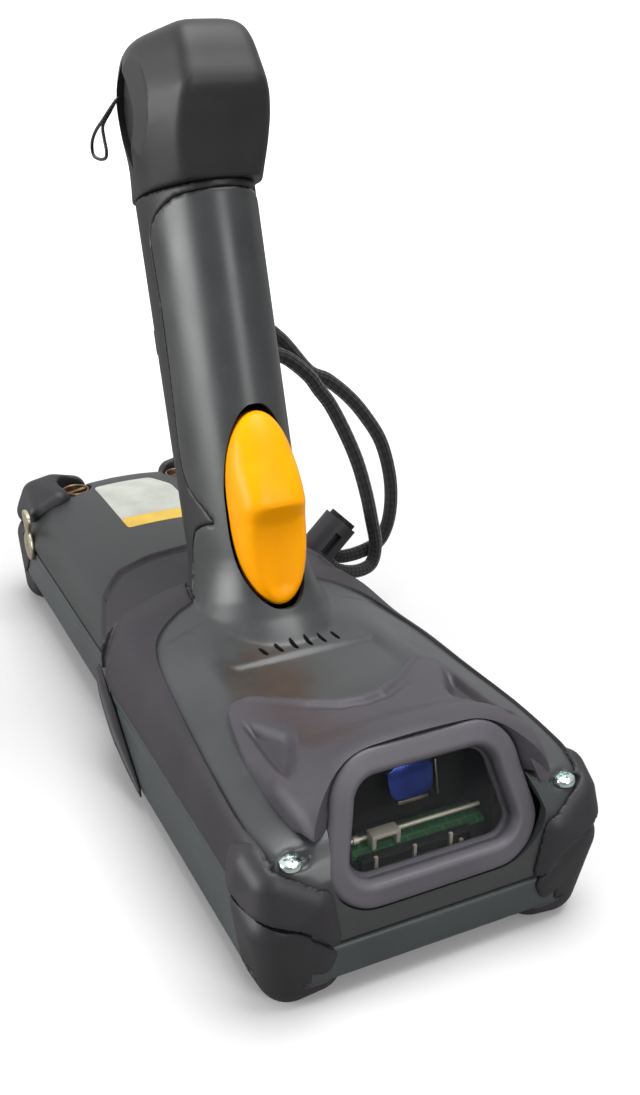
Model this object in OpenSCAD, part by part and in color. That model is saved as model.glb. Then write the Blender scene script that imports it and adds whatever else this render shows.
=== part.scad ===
// Portable data terminal with a pistol grip, lying on its display side.
// X runs across, the scan window faces -Y, the grip stands up along +Z.

/* [Head] */
// From the origin to the front wall
head_front = 113.5; // [110:0.5:118]
// From the origin to the rear wall
head_rear = 112.5; // [108:0.5:116]
// Half width of the display part
front_half_w = 42; // [40:0.5:44]
// Half width of the keypad part
rear_half_w = 38.5; // [36:0.5:40]
// Where the wide part starts to narrow
waist_y = 0; // [-6:1:3]
// Wall of the housings
wall = 2.2; // [1.8:0.1:2.6]
// Underside of the display part
display_z = 6; // [5.5:0.5:7.5]
// Underside of the keypad part
keypad_z = 10; // [9.5:0.5:11]
// Seam between the housings along the flanks
seam_z = 25; // [24:0.5:27]
// Seam between the housings at the front wall
front_seam_z = 15.5; // [14:0.5:18]
// Thickness of the seal in the seam
seal_t = 0.6; // [0.4:0.1:1]
// Height of the crease where the back turns into the flank
crease_z = 42; // [40:0.5:44]
// Height of the saddle in front of the grip
saddle_z = 46; // [44:0.5:48]
// Height of the rear cover
rear_z = 40.5; // [38:0.5:42]

/* [Window] */
// Half width of the exit window at its lower edge
window_half_w = 20.5; // [18:0.5:22]
// Height of the exit window
window_h = 22.5; // [19:0.5:24]
// Lean of the window
window_tilt = 19; // [14:1:24]
// Height of the window's centre
window_z = 38; // [36:0.5:40]
// Thickness of the window
glass_t = 1.6; // [1.2:0.1:2]
// Thickness of the rubber hood over the housing
hood_t = 3.2; // [2.5:0.1:4]

/* [Grip] */
// Lean of the grip
grip_tilt = 18.5; // [14:0.5:22]
// Half width of the grip
grip_rx = 15.4; // [15:0.1:16]
// Half depth of the grip
grip_ry = 22.5; // [21.5:0.5:23.5]
// Wall of the grip
grip_wall = 1.9; // [1.6:0.1:2.1]
// Length of the grip from the table plane to the foot
grip_l = 158; // [154:1:162]
// Height of the battery foot
foot_h = 37; // [34:0.2:38]
// Reach of the foot's crease in front of the grip's axis
foot_reach = 34; // [31:0.5:35]

/* [Trigger] */
// Half width of the trigger
trigger_half_w = 9.7; // [9:0.1:10.5]
// Lower end of the trigger along the grip
trigger_s0 = 47.6; // [47:0.2:49]
// Length of the trigger
trigger_l = 51.6; // [48:0.2:53]
// How far the trigger's nose stands out of the grip
trigger_nose = 8; // [6:0.5:9]
// Radius of the trigger's pin
pin_r = 1.5; // [1.2:0.1:1.8]
// Running clearance of the trigger on its pin
pin_gap = 0.05; // [0.03:0.01:0.09]

/* [Keypad] */
// Keys in a row
key_columns = 4; // [3:1:4]
// Rows of keys
key_rows = 4; // [3:1:4]
// Width of a key
key_w = 11; // [9:0.5:12]
// Length of a key
key_l = 9; // [8:0.5:10]
// Distance between keys across
key_pitch_x = 15; // [14:0.5:16]
// Distance between rows of keys
key_pitch_y = 19; // [18:0.5:21]
// How far a key can be pressed
key_travel = 0.8; // [0.5:0.1:1]

/* [Battery] */
// Radius of a battery cell
cell_r = 9.1; // [8.9:0.1:9.2]
// Length of a battery cell
cell_l = 65; // [64:0.5:66]
// Wall of the battery case
case_t = 0.9; // [0.8:0.1:1]

/* [Lanyard] */
// Diameter of the wrist cord
cord_d = 4.5; // [4:0.1:5]
// Diameter of the tether loop's cord
tether_d = 0.9; // [0.8:0.1:1]
// Radius of the cord lock
lock_r = 6; // [5.6:0.2:6.4]
// Length of the cord lock
lock_l = 16; // [15:1:19]

/* [Hidden] */
KEYS = [for (row = [1 : key_rows], col = [1 : key_columns]) str("key_", row, "_", col)];
BODY_NODES = ["display_housing", "back_housing", "rear_cover", "housing_seal", "rubber_collar",
    "scan_hood", "window_bezel", "exit_window", "front_boots_upper", "front_boots_lower",
    "rear_boots_upper", "rear_boots_lower", "scan_engine", "scan_mirror", "engine_board",
    "main_board", "display_module", "touch_panel", "keypad_mat", "speaker", "dock_contacts",
    "power_button", "grip_rear_shell", "trigger", "trigger_pin", "trigger_spring",
    "trigger_bracket", "trigger_switch", "battery_case", "battery_cells", "battery_foot",
    "battery_latch_left", "battery_latch_right", "battery_contacts", "housing_screws",
    "coin_screw_left", "coin_screw_right", "rating_label", "strap_clip", "lanyard_anchor",
    "lanyard_cord", "cord_lock", "cord_lock_button", "tether_loop"];

gap = 0.05;            // pieces of one body that lie face to face
free = 0.35;           // pieces of different bodies
sliver = 0.02;         // thickness of a hull's end slice
through = 1;           // how far a cut runs past its wall
big = 400;             // larger than the part
round_fn = 32;

// ---------- plain helpers ----------

function mix(a, b, k) = a + (b - a) * k;
function arc_points(c, r, a0, a1, n) =
    [for (i = [0 : n]) c + r * [cos(mix(a0, a1, i / n)), sin(mix(a0, a1, i / n))]];
function mirrored(half) =
    concat(half, [for (i = [len(half) - 1 : -1 : 0]) [-half[i].x, half[i].y]]);
function rounded(w, l, r) = concat(
    arc_points([w / 2 - r, l / 2 - r], r, 0, 90, 5), arc_points([r - w / 2, l / 2 - r], r, 90, 180, 5),
    arc_points([r - w / 2, r - l / 2], r, 180, 270, 5), arc_points([w / 2 - r, r - l / 2], r, 270, 360, 5));

module block(w, l, h, r) {
    linear_extrude(h) polygon(rounded(w, l, r));
}
module both_sides() {
    children();
    mirror([1, 0, 0]) children();
}
module behind(y) {
    translate([-big / 2, y, -big / 2]) cube(big);
}
module before(y) {
    translate([-big / 2, y - big, -big / 2]) cube(big);
}
module above(z) {
    translate([-big / 2, -big / 2, z]) cube(big);
}
module below(z) {
    translate([-big / 2, -big / 2, z - big]) cube(big);
}

// ---------- the head's outline seen from above ----------

front_corner_r = 12;
rear_corner_r = 10;
waist_l = 12;          // length over which the wide part narrows
function head_half(d) = concat(
    arc_points([front_half_w - front_corner_r, front_corner_r - head_front], front_corner_r - d, -90, 0, 8),
    [[front_half_w - d, waist_y - waist_l / 2], [rear_half_w - d, waist_y + waist_l / 2]],
    arc_points([rear_half_w - rear_corner_r, head_rear - rear_corner_r], rear_corner_r - d, 0, 90, 8));
module head_prism(d, z0, z1) {
    translate([0, 0, z0]) linear_extrude(z1 - z0) polygon(mirrored(head_half(d)));
}

// ---------- the head's back, as stations from front to rear ----------
// Each row: y, half width of the flank, half width at the crease, height of the crease, height of the middle

crown_z = saddle_z + 3.5;    // beside the grip's base
split_y = waist_y + 4;       // where the back housing meets the rear cover, under the collar
flank_z = seam_z + 3;        // where the flank starts to lean in
w_f = front_half_w;
w_r = rear_half_w;
nose_y = -head_front;
front_rows = [
    [nose_y, w_f - 11, w_f - 13, crease_z - 9, crease_z - 8],
    [nose_y + 2.5, w_f - 4.5, w_f - 6.5, crease_z - 5.5, crease_z - 4],
    [nose_y + 7, w_f - 1.3, w_f - 3.5, crease_z - 2.5, saddle_z - 4],
    [nose_y + 14, w_f, w_f - 2, crease_z - 1.5, saddle_z - 3],
    [nose_y + 33, w_f, w_f - 2.5, crease_z - 0.5, saddle_z - 1.5],
    [nose_y + 53, w_f, w_f - 4, crease_z - 0.5, saddle_z],
    [waist_y - 41, w_f, w_f - 5.5, crease_z - 0.3, saddle_z + 1],
    [waist_y - 25, w_f, w_f - 8, crease_z - 0.3, crown_z - 0.5],
    [waist_y - 6, w_f, w_f - 9.5, crease_z + 0.5, crown_z],
    [split_y, w_r + 0.7, w_r - 7, crease_z, crown_z - 1.5]];
rear_crease_z = rear_z - 2.5;
end_y = head_rear;
rear_rows = [
    [split_y, w_r + 0.7, w_r - 9, crease_z - 2, rear_z + 1.5],
    [waist_y + 6, w_r, w_r - 10, rear_crease_z + 1, rear_z + 0.8],
    [waist_y + 30, w_r, w_r - 11, rear_crease_z, rear_z],
    [end_y - 30, w_r, w_r - 11.5, rear_crease_z - 0.5, rear_z - 0.3],
    [end_y - 10, w_r, w_r - 12, rear_crease_z - 1.5, rear_z - 1.5],
    [end_y - 3, w_r - 3, w_r - 14, rear_crease_z - 4, rear_z - 4],
    [end_y, w_r - 10, w_r - 16, rear_crease_z - 8, rear_z - 8.5]];

function back_half(row, grow, z0) =
    let (side = row[1] + grow, crease = row[2] + grow, top = row[3] + grow, middle = row[4] + grow)
    [[side, z0], [side, flank_z], [mix(side, crease, 0.3), mix(flank_z, top, 0.55)],
     [mix(side, crease, 0.68), mix(flank_z, top, 0.85)], [crease - 1.5, top],
     [crease * 0.55, mix(top, middle, 0.75)], [0, middle]];
module back_slice(row, grow, z0) {
    translate([0, row[0], 0]) rotate([90, 0, 0])
        linear_extrude(sliver) polygon(mirrored(back_half(row, grow, z0)));
}
module back_body(rows, grow, z0) {
    for (i = [0 : len(rows) - 2]) hull() {
        back_slice(rows[i], grow, z0);
        back_slice(rows[i + 1], grow, z0);
    }
}

// ---------- the grip's own frame: s runs up its axis, t points backwards ----------

grip_y = -23.2;              // where the grip's axis meets the table plane
module in_grip() {
    translate([0, grip_y, 0]) rotate([-grip_tilt, 0, 0]) children();
}
module oval_column(rx, ry, h, n = 40) {
    linear_extrude(h) polygon([for (i = [0 : n - 1]) [rx * cos(i * 360 / n), ry * sin(i * 360 / n)]]);
}
flare_s = 58;                // where the flare has run out into the grip
flare_rows = [[flare_s - 28, 14], [flare_s - 18, 8], [flare_s - 13, 4.4], [flare_s - 8, 2], [flare_s - 3, 0.7],
    [flare_s + 3, 0]];
module grip_slice(row, grow) {
    translate([0, 0, row[0]]) oval_column(grip_rx + row[1] + grow, grip_ry + row[1] + grow, sliver);
}
module grip_body(grow, s_top = grip_l) {
    rows = [for (row = flare_rows) if (row[0] < s_top - 0.5) row];
    all_rows = concat(rows, [[s_top, 0]]);
    for (i = [0 : len(all_rows) - 2]) hull() {
        grip_slice(all_rows[i], grow);
        grip_slice(all_rows[i + 1], grow);
    }
}
// The satin front skin of the grip in side view: t across, s up
tab_s = 70;                  // the pointed tab of the seam
tongue_s = grip_l - 1.5;     // top of the skin's arched tongue
function skin_side(d) = [[-big / 4, 0], [-big / 4, tongue_s - d], [4.5 - grip_ry, tongue_s - d],
    [-11 - d, tongue_s - 2.5 - d], [-6 - d, tongue_s - 5 - d], [-3 - d, tongue_s - 9], [-2.8 - d, tongue_s - 14],
    [-3.7 - d, tongue_s - 28], [-2 - d, tab_s + 34], [-0.5 - d, tab_s + 20], [-1 - d, tab_s + 14],
    [-4.5 - d, tab_s + 9.5], [-9.5 - d, tab_s + 5.5], [-13 - d, tab_s + 1], [-7 - d, tab_s + 0.3],
    [-3 - d, tab_s - 1.5], [-d, tab_s - 6], [1.5 - d, tab_s - 10], [1.5 - d, 0]];
module skin_region(d) {
    rotate([90, 0, 90]) translate([0, 0, -big / 4]) linear_extrude(big / 2) polygon(skin_side(d));
}

// ---------- the trigger's outline ----------

trigger_s1 = trigger_s0 + trigger_l;
front_t = -grip_ry;
// Each row: place along the trigger from -1 to 1, how far the face stands out as a share of the nose
trigger_rows = [[-1, 0.05], [-0.93, 0.34], [-0.75, 0.5], [-0.3, 0.66], [0.1, 1], [0.42, 0.6], [0.78, 0.18], [1, 0]];
function trigger_s(u) = trigger_s0 + (u + 1) * trigger_l / 2;
function trigger_w(u) = trigger_half_w * max(sqrt(1 - pow(abs(u), 2.6)), 0.22);
nose_s = trigger_s(0.1);
trigger_depth = 6.5;         // how far the trigger reaches into the grip
module trigger_slice(row, grow, back_t) {
    half_w = trigger_w(row[0]) + grow;
    front = front_t - row[1] * trigger_nose - grow;
    translate([0, 0, trigger_s(row[0])]) linear_extrude(sliver) polygon([
        [half_w, back_t], [half_w, front_t + 1], [0.93 * half_w, mix(front_t + 1, front, 0.5)],
        [0.72 * half_w, mix(front_t + 1, front, 0.85)], [0.35 * half_w, front], [-0.35 * half_w, front],
        [-0.72 * half_w, mix(front_t + 1, front, 0.85)], [-0.93 * half_w, mix(front_t + 1, front, 0.5)],
        [-half_w, front_t + 1], [-half_w, back_t]]);
}
module trigger_shape(grow, back_t) {
    for (i = [0 : len(trigger_rows) - 2]) hull() {
        trigger_slice(trigger_rows[i], grow, back_t);
        trigger_slice(trigger_rows[i + 1], grow, back_t);
    }
}
trigger_play = 0.5;          // gap between the trigger and the skin's opening
trigger_end_play = 1.2;      // gap past the trigger's free end, which swings on an arc
module trigger_opening() {
    for (ds = [-trigger_play, trigger_end_play, 2 * trigger_end_play])
        translate([0, 0, ds]) trigger_shape(trigger_play, front_t + 2 * trigger_depth);
}
pin_s = trigger_s0 + 4.5;
lug_half_w = 5;              // the trigger's lugs lie between the bracket's ears
lug_r = pin_r + 1.7;
pin_t = front_t + trigger_depth + lug_r + 1;
ear_t = 2;

// ---------- the window's own frame: x across, y up the glass, z out of it ----------

window_y = nose_y + 7;       // the glass lies behind the front wall
module in_window() {
    translate([0, window_y, window_z]) rotate([90 - window_tilt, 0, 0]) children();
}
window_taper = 3;            // the window is narrower at its upper edge
function window_outline(d) = let (b = window_half_w + d, h = window_h / 2 + d, r = 4.5 + d)
    mirrored(concat(arc_points([b - r, r - h], r, -90, 0, 5),
        arc_points([b - window_taper - r, h - r], r, 0, 90, 5)));
module window_prism(d, z0, z1) {
    translate([0, 0, z0]) linear_extrude(z1 - z0) polygon(window_outline(d));
}

// ---------- rubber hood over the window ----------

hood_half_w = 31.5;
hood_top = saddle_z + 11;
// Each row: y, half width, height at the shoulder, height in the middle
hood_rows = [
    [nose_y - 0.8, hood_half_w - 9, window_z + 1, window_z + 3],
    [nose_y + 1, hood_half_w - 4, window_z + 5, window_z + 9],
    [nose_y + 4, hood_half_w - 1.5, window_z + 8.5, window_z + 14],
    [nose_y + 8.5, hood_half_w - 0.5, hood_top - 8.5, hood_top - 1.5],
    [nose_y + 14, hood_half_w, hood_top - 7.5, hood_top],
    [nose_y + 18, hood_half_w, hood_top - 7.5, hood_top - 0.2],
    [nose_y + 24, hood_half_w, crease_z + 5.8, saddle_z + 7.5],
    [nose_y + 31, hood_half_w, crease_z + 1.5 * hood_t, saddle_z + 1.2 * hood_t],
    [nose_y + 48, hood_half_w + 0.5, crease_z + 1.2 * hood_t, saddle_z + 0.8 * hood_t],
    [nose_y + 58, hood_half_w + 0.5, crease_z + hood_t, saddle_z + 0.5 * hood_t]];
module hood_slice(row) {
    half_w = row[1];
    half = [[half_w, min(window_z + 0.5, row[2] - 7)], [half_w, row[2] - 6], [half_w - 1.2, row[2] - 2], [half_w - 4.5, row[2]],
        [half_w * 0.55, mix(row[2], row[3], 0.75)], [0, row[3]]];
    translate([0, row[0], 0]) rotate([90, 0, 0]) linear_extrude(sliver) polygon(mirrored(half));
}
hood_arc_r = 36;             // the hood's rear edge is hollowed by this arc
hood_l = 38.5;               // from the front wall to the middle of the hood's rear edge
module hood_body() {
    difference() {
        for (i = [0 : len(hood_rows) - 2]) hull() {
            hood_slice(hood_rows[i]);
            hood_slice(hood_rows[i + 1]);
        }
        translate([0, nose_y + hood_l + hood_arc_r, 0]) cylinder(r = hood_arc_r, h = big, $fn = 64);
    }
}

// ---------- housings ----------

screw_x = front_half_w - 7.5;
screw_y = nose_y + 4.6;
screw_z = crease_z - 6.5;    // seat of the screw's head
screw_head_r = 2.9;
screw_r = 1.3;
boss_r = 3;
coin_x = rear_half_w - 19.5;
coin_y = end_y - 8;
coin_r = 4;
coin_shank_r = 1.8;
coin_seat_z = rear_crease_z - 3.5;
notch_y = nose_y + 15.5;     // behind it the seam steps up from the front wall's height
panel_y = -46;               // middle of the display
panel_w = 2 * (front_half_w - 9);
panel_l = 86;
panel_t = 1.5;
module_t = 4.8;
keypad_y = end_y - 54.5;      // middle of the keypad
keypad_w = (key_columns - 1) * key_pitch_x + key_w + 4;
keypad_l = (key_rows - 1) * key_pitch_y + key_l + 4;
power_x = 0;
power_y = waist_y + 10;
power_r = 3.5;
dock_w = 30;
dock_h = 5;
dock_z = keypad_z + 5.5;
groove_r = 0.7;              // groove along the flanks
groove_drop = 3.5;
mat_t = 1.2;
flange = 1;                  // how far a key's flange reaches past the key, and its thickness
mat_z = keypad_z + wall + gap + flange + key_travel + free;
board_z = mat_z + mat_t + gap;
board_t = 1.6;
post_r = 2.6;
post_places = [[front_half_w - 5.2, nose_y + 20], [front_half_w - 5.2, panel_y], [rear_half_w - 4.9, waist_y + 13],
    [rear_half_w - 7.5, end_y - 14]];
function key_at(row, col) = [(col - (key_columns + 1) / 2) * key_pitch_x,
    keypad_y + (row - (key_rows + 1) / 2) * key_pitch_y];

module display_housing() {
    color("#3f4244") difference() {
        union() {
            difference() {
                head_prism(0, display_z, seam_z - seal_t);
                head_prism(wall, display_z + wall, seam_z);
            }
            // the keypad's floor lies higher than the display's
            intersection() {
                head_prism(wall / 2, keypad_z, keypad_z + wall);
                behind(waist_y);
            }
            translate([-front_half_w + wall / 2, waist_y, display_z])
                cube([2 * front_half_w - wall, wall, keypad_z + wall - display_z]);
            intersection() {
                both_sides() for (p = post_places) translate([p.x, p.y, display_z])
                    cylinder(r = post_r, h = board_z - gap - display_z);
                head_prism(wall / 2, display_z, board_z);
            }
            both_sides() translate([screw_x, screw_y, display_z])
                cylinder(r = boss_r, h = front_seam_z - seal_t - display_z);
            both_sides() translate([coin_x, coin_y, keypad_z]) cylinder(r = boss_r, h = seam_z - seal_t - keypad_z);
        }
        // underside of the keypad part
        intersection() {
            head_prism(-through, display_z - through, keypad_z);
            behind(waist_y + wall);
        }
        // the seam runs lower at the front wall
        intersection() {
            above(front_seam_z - seal_t);
            before(notch_y);
        }
        translate([0, panel_y, display_z - through]) block(panel_w, panel_l, big, 3);
        for (row = [1 : key_rows], col = [1 : key_columns]) translate(key_at(row, col))
            translate([0, 0, keypad_z - through]) block(key_w, key_l, wall + 2 * through, 2);
        translate([power_x, power_y, keypad_z - through]) cylinder(r = power_r + free, h = wall + 2 * through);
        both_sides() translate([screw_x, screw_y, display_z + wall]) cylinder(r = screw_r + gap, h = big);
        both_sides() translate([coin_x, coin_y, keypad_z + wall]) cylinder(r = coin_shank_r + free, h = big);
        // docking contacts in the rear wall
        translate([0, end_y, dock_z]) cube([dock_w, 4 * wall, dock_h], center = true);
        // groove along the flanks
        both_sides() translate([front_half_w, nose_y + 20, seam_z - groove_drop])
            rotate([-90, 0, 0]) cylinder(r = groove_r, h = waist_y - 30 - nose_y);
        both_sides() translate([rear_half_w, waist_y + 10, seam_z - groove_drop])
            rotate([-90, 0, 0]) cylinder(r = groove_r, h = end_y - waist_y - 24);
    }
}

module back_housing() {
    color("#3a3b3d") difference() {
        union() {
            difference() {
                back_body(front_rows, 0, seam_z);
                behind(split_y - gap);
            }
            intersection() {
                head_prism(0, front_seam_z, seam_z + through);
                before(notch_y);
            }
            intersection() {
                in_grip() intersection() {
                    grip_body(0);
                    skin_region(0);
                }
                above(seam_z + 1);
            }
        }
        difference() {
            back_body([for (row = front_rows) if (row[0] > nose_y + 1) row], -wall, -through);
            // screw bosses stay
            both_sides() translate([screw_x, screw_y, 0]) cylinder(r = boss_r, h = big, $fn = round_fn);
            before(nose_y + wall);
        }
        difference() {
            intersection() {
                head_prism(wall, 0, seam_z + 3);
                before(notch_y + 2 * wall);
            }
            both_sides() translate([screw_x, screw_y, 0]) cylinder(r = boss_r, h = big, $fn = round_fn);
        }
        in_grip() grip_body(-grip_wall, grip_l + through);
        in_grip() trigger_opening();
        // the window looks through the hood's seat
        in_window() window_prism(0.7 * bezel_w, -30, 30);
        in_window() window_prism(bezel_w + gap, -bezel_depth - gap, 30);
        // recesses and holes of the front screws
        both_sides() translate([screw_x, screw_y, screw_z]) screw_recess();
        both_sides() translate([screw_x, screw_y, 0]) cylinder(r = screw_r + gap, h = big, $fn = round_fn);
        both_sides() translate([screw_x, screw_y, 0]) cylinder(r = boss_r + 1, h = front_seam_z, $fn = round_fn);
        vents();
        // the hood and the collar lie in rebates
        collar_zone(gap) back_rebate();
    }
}
rebate = 1.2;                // depth of the collar's rebate in the housings
module back_rebate() {
    difference() {
        back_body(front_rows, 3, -through);
        back_body(front_rows, -rebate, -2 * through);
    }
}
module screw_recess() {
    rotate([0, 0, 45]) linear_extrude(big) polygon([[-3.2, -3.2], [4.4, -3.4], [-3.4, 4.4]]);
    cylinder(r = screw_head_r + 0.4, h = big, $fn = round_fn);
}
vent_n = 6;
vent_pitch = 4.1;
vent_y = -43;
module vents() {
    for (i = [0 : vent_n - 1]) translate([(i - (vent_n - 1) / 2) * vent_pitch, vent_y, saddle_z - 4])
        rotate([0, 0, 18]) translate([-0.6, -2, 0]) cube([1.2, 4, 12]);
}

// The collar's zone in plan: behind and beside the satin saddle
ridge_y = 36;                // the collar's rear edge at the middle
collar_front_y = nose_y + 20.6;
function saddle_plan(d) = let (e = front_half_w - 1 + d)
    [[e, nose_y - 20], [e, collar_front_y], [front_half_w - 5.5 + d, waist_y - 41], [front_half_w - 9.5 + d, -18],
     [front_half_w - 13 + d, waist_y - 13], [20 + d, waist_y - 9 + d], [0, waist_y - 7 + d]];
function collar_plan(d) = [[big / 4, collar_front_y - d], [big / 4, waist_y - 2 + d],
    [max(front_half_w, rear_half_w) + 1, waist_y - 2 + d], [rear_half_w + 0.7, ridge_y - 26 + d], [rear_half_w - 3.5, ridge_y - 14 + d],
    [rear_half_w - 11, ridge_y - 4.5 + d], [rear_half_w - 22, ridge_y - 1.2 + d], [0, ridge_y + d]];
module collar_zone(d) {
    intersection() {
        children();
        difference() {
            linear_extrude(big / 4) polygon(mirrored(concat([[0, collar_front_y - d]], collar_plan(d))));
            translate([0, 0, -through]) linear_extrude(big / 2) polygon(mirrored(saddle_plan(-d)));
        }
    }
}

module rear_cover() {
    color("#333436") difference() {
        back_body(rear_rows, 0, seam_z);
        difference() {
            back_body(rear_rows, -wall, -through);
            behind(end_y - wall);
            both_sides() translate([coin_x, coin_y, 0]) cylinder(r = coin_r + 2.2, h = big, $fn = round_fn);
        }
        both_sides() translate([coin_x, coin_y, coin_seat_z]) cylinder(r = coin_r + free, h = big, $fn = round_fn);
        both_sides() translate([coin_x, coin_y, 0]) cylinder(r = coin_shank_r + free, h = big, $fn = round_fn);
        before(split_y + gap);
        // the grip's rear shell passes through
        in_grip() grip_body(gap);
        translate([label_x, label_y, rear_z - 1.3]) label_shape(0.15, big);
        collar_zone(gap) difference() {
            back_body(rear_rows, 3, -through);
            back_body(rear_rows, -rebate, -2 * through);
        }
    }
}

module housing_seal() {
    color("#141414") {
        difference() {
            head_prism(0.9, seam_z - seal_t + gap, seam_z - gap);
            head_prism(wall - 0.2, seam_z - 2 * seal_t, seam_z + seal_t);
            before(notch_y + gap);
        }
        difference() {
            head_prism(0.9, front_seam_z - seal_t + gap, front_seam_z - gap);
            head_prism(wall - 0.2, front_seam_z - 2 * seal_t, front_seam_z + seal_t);
            behind(notch_y - gap);
            both_sides() translate([screw_x, screw_y, 0]) cylinder(r = boss_r, h = big);
        }
    }
}

module rubber_collar() {
    color("#242326") {
        difference() {
            collar_zone(0) union() {
                back_body(front_rows, 0.6, seam_z + gap);
                difference() {
                    back_body(rear_rows, 2.6, seam_z + gap);
                    before(split_y);
                }
            }
            back_body(front_rows, gap - rebate, -through);
            back_body(rear_rows, gap - rebate, -through);
            in_grip() grip_body(gap);
        }
        both_sides() skirt();
    }
}
// The skirt hangs down over the flank as a pointed leaf
skirt_rows = [[waist_y + 1, seam_z + 2, 2.2, 1.6], [waist_y - 5, seam_z - 2.5, 4, 2.6],
    [waist_y - 13, seam_z - 8, 4.6, 2.8], [waist_y - 22, seam_z - 14, 3.6, 2], [waist_y - 31, seam_z - 19.5, 1.6, 0.8]];
module skirt() {
    intersection() {
        for (i = [0 : len(skirt_rows) - 2]) hull() {
            skirt_leaf(skirt_rows[i]);
            skirt_leaf(skirt_rows[i + 1]);
        }
        translate([front_half_w + gap, -big / 2, 0]) cube(big);
    }
}
module skirt_leaf(row) {
    translate([front_half_w - 0.6, row[0], row[1]]) rotate([25, 0, 0]) rotate([0, 90, 0])
        cylinder(r1 = row[2], r2 = row[2] * 0.6, h = row[3] + 0.9, $fn = round_fn);
}

module scan_hood() {
    color("#2b2a2c") difference() {
        hood_body();
        back_body(front_rows, gap, -through);
        in_window() window_prism(bezel_w + 4 * gap, -30, 30);
        before(nose_y - 1.6);
    }
}

bezel_w = 6.5;               // width of the bezel's ring
bezel_h = 2.6;               // how far it stands out of the glass
bezel_depth = 3.5;
module window_bezel() {
    color("#1d1d1f") in_window() difference() {
        window_prism(bezel_w, -bezel_depth, bezel_h);
        window_prism(-0.8, -10, 10);
        window_prism(gap, -glass_t - gap, 10);
        window_prism(1.2, 1, 10);
    }
}

module exit_window() {
    color("#394049", 0.4) in_window() window_prism(0, -glass_t, 0);
}

// ---------- corner boots ----------

module ball(p, r) {
    translate(p) sphere(r = r, $fn = 28);
}
module head_body(grow) {
    back_body(front_rows, grow, display_z);
    back_body(rear_rows, grow, display_z);
    head_prism(-grow, display_z - grow, seam_z + 3);
}
boot_x = front_half_w - 2.5;
boot_y = nose_y + 5.1;
// The seam between the two layers of a front boot falls towards the middle of the front wall
module boot_split(dz) {
    e = front_half_w;
    translate([0, 0, dz]) rotate([90, 0, 0]) linear_extrude(big, center = true)
        polygon(mirrored([[big, -big], [big, seam_z + 2], [e + 1, seam_z + 2], [e - 3, seam_z + 0.5],
            [e - 7, seam_z - 1], [e - 11, seam_z - 4], [e - 14.5, front_seam_z + 1.5], [e - 18, front_seam_z],
            [0, front_seam_z]]));
}
module front_boot_upper() {
    difference() {
        union() {
            hull() {
                ball([boot_x, boot_y + 8, seam_z + 6], 5);
                ball([boot_x, boot_y + 8, seam_z - 1], 6);
                ball([boot_x - 1.5, boot_y + 1, crease_z - 10], 5.5);
                ball([boot_x - 1, boot_y, seam_z - 3], 6.8);
            }
            hull() {
                ball([boot_x - 0.5, boot_y + 9.7, seam_z + 7.5], 5);
                ball([boot_x - 0.5, boot_y + 6, crease_z - 8], 5.3);
                ball([boot_x - 1.5, boot_y + 1, crease_z - 10], 5.5);
                ball([boot_x, boot_y + 8, seam_z - 1], 6);
            }
            hull() {
                ball([boot_x - 1.5, boot_y + 1, crease_z - 10], 5.5);
                ball([boot_x - 1, boot_y, seam_z - 3], 6.8);
                ball([boot_x - 9, boot_y - 1.6, seam_z + 3], 5.5);
                ball([boot_x - 11, boot_y - 2, front_seam_z + 2], 5);
            }
        }
        head_body(gap);
        boot_split(seal_t / 2);
        in_window() window_prism(bezel_w + gap, -bezel_depth, big / 4);
        translate([screw_x, screw_y, screw_z]) screw_recess();
    }
}
module front_boot_lower() {
    intersection() {
        difference() {
            union() {
                hull() {
                    ball([boot_x, boot_y + 7, seam_z - 1], 5.2);
                    ball([boot_x - 3, boot_y + 7, display_z + 2.5], 6);
                    ball([boot_x - 2, boot_y + 1, seam_z - 4], 6.8);
                    ball([boot_x - 5.5, boot_y + 2.5, display_z + 0.4], 7.2);
                }
                hull() {
                    ball([boot_x - 2, boot_y + 1, seam_z - 4], 6.8);
                    ball([boot_x - 5.5, boot_y + 2.5, display_z + 0.4], 7.2);
                    ball([boot_x - 11, boot_y - 0.5, front_seam_z - 2], 5.6);
                    ball([boot_x - 11, boot_y + 1.5, display_z + 1.2], 6.6);
                }
            }
            head_body(gap);
        }
        boot_split(-seal_t / 2);
        above(0);
    }
}
module front_boots_upper() {
    color("#232225") both_sides() front_boot_upper();
}
module front_boots_lower() {
    color("#1f1e21") both_sides() front_boot_lower();
}
module rear_boot_upper() {
    difference() {
        union() {
            hull() {
                ball([rear_half_w - 4.5, end_y - 5, seam_z + 7], 5);
                ball([rear_half_w - 7, end_y - 3, rear_crease_z - 1.5], 5);
                ball([rear_half_w - 13, end_y - 2.5, rear_crease_z - 0.5], 5);
                ball([rear_half_w - 12, end_y - 12, rear_crease_z - 1.5], 4.5);
                ball([rear_half_w - 5.5, end_y - 13, seam_z + 9], 4);
            }
            hull() {
                ball([rear_half_w - 13, end_y - 2.5, rear_crease_z - 0.5], 5);
                ball([rear_half_w - 20, end_y - 1.5, rear_crease_z - 2], 4.5);
                ball([rear_half_w - 14, end_y - 3, seam_z + 6], 5);
            }
        }
        head_body(gap);
        translate([coin_x, coin_y, 0]) cylinder(r = coin_r + 1, h = big, $fn = round_fn);
        below(seam_z + 4);
    }
}
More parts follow.
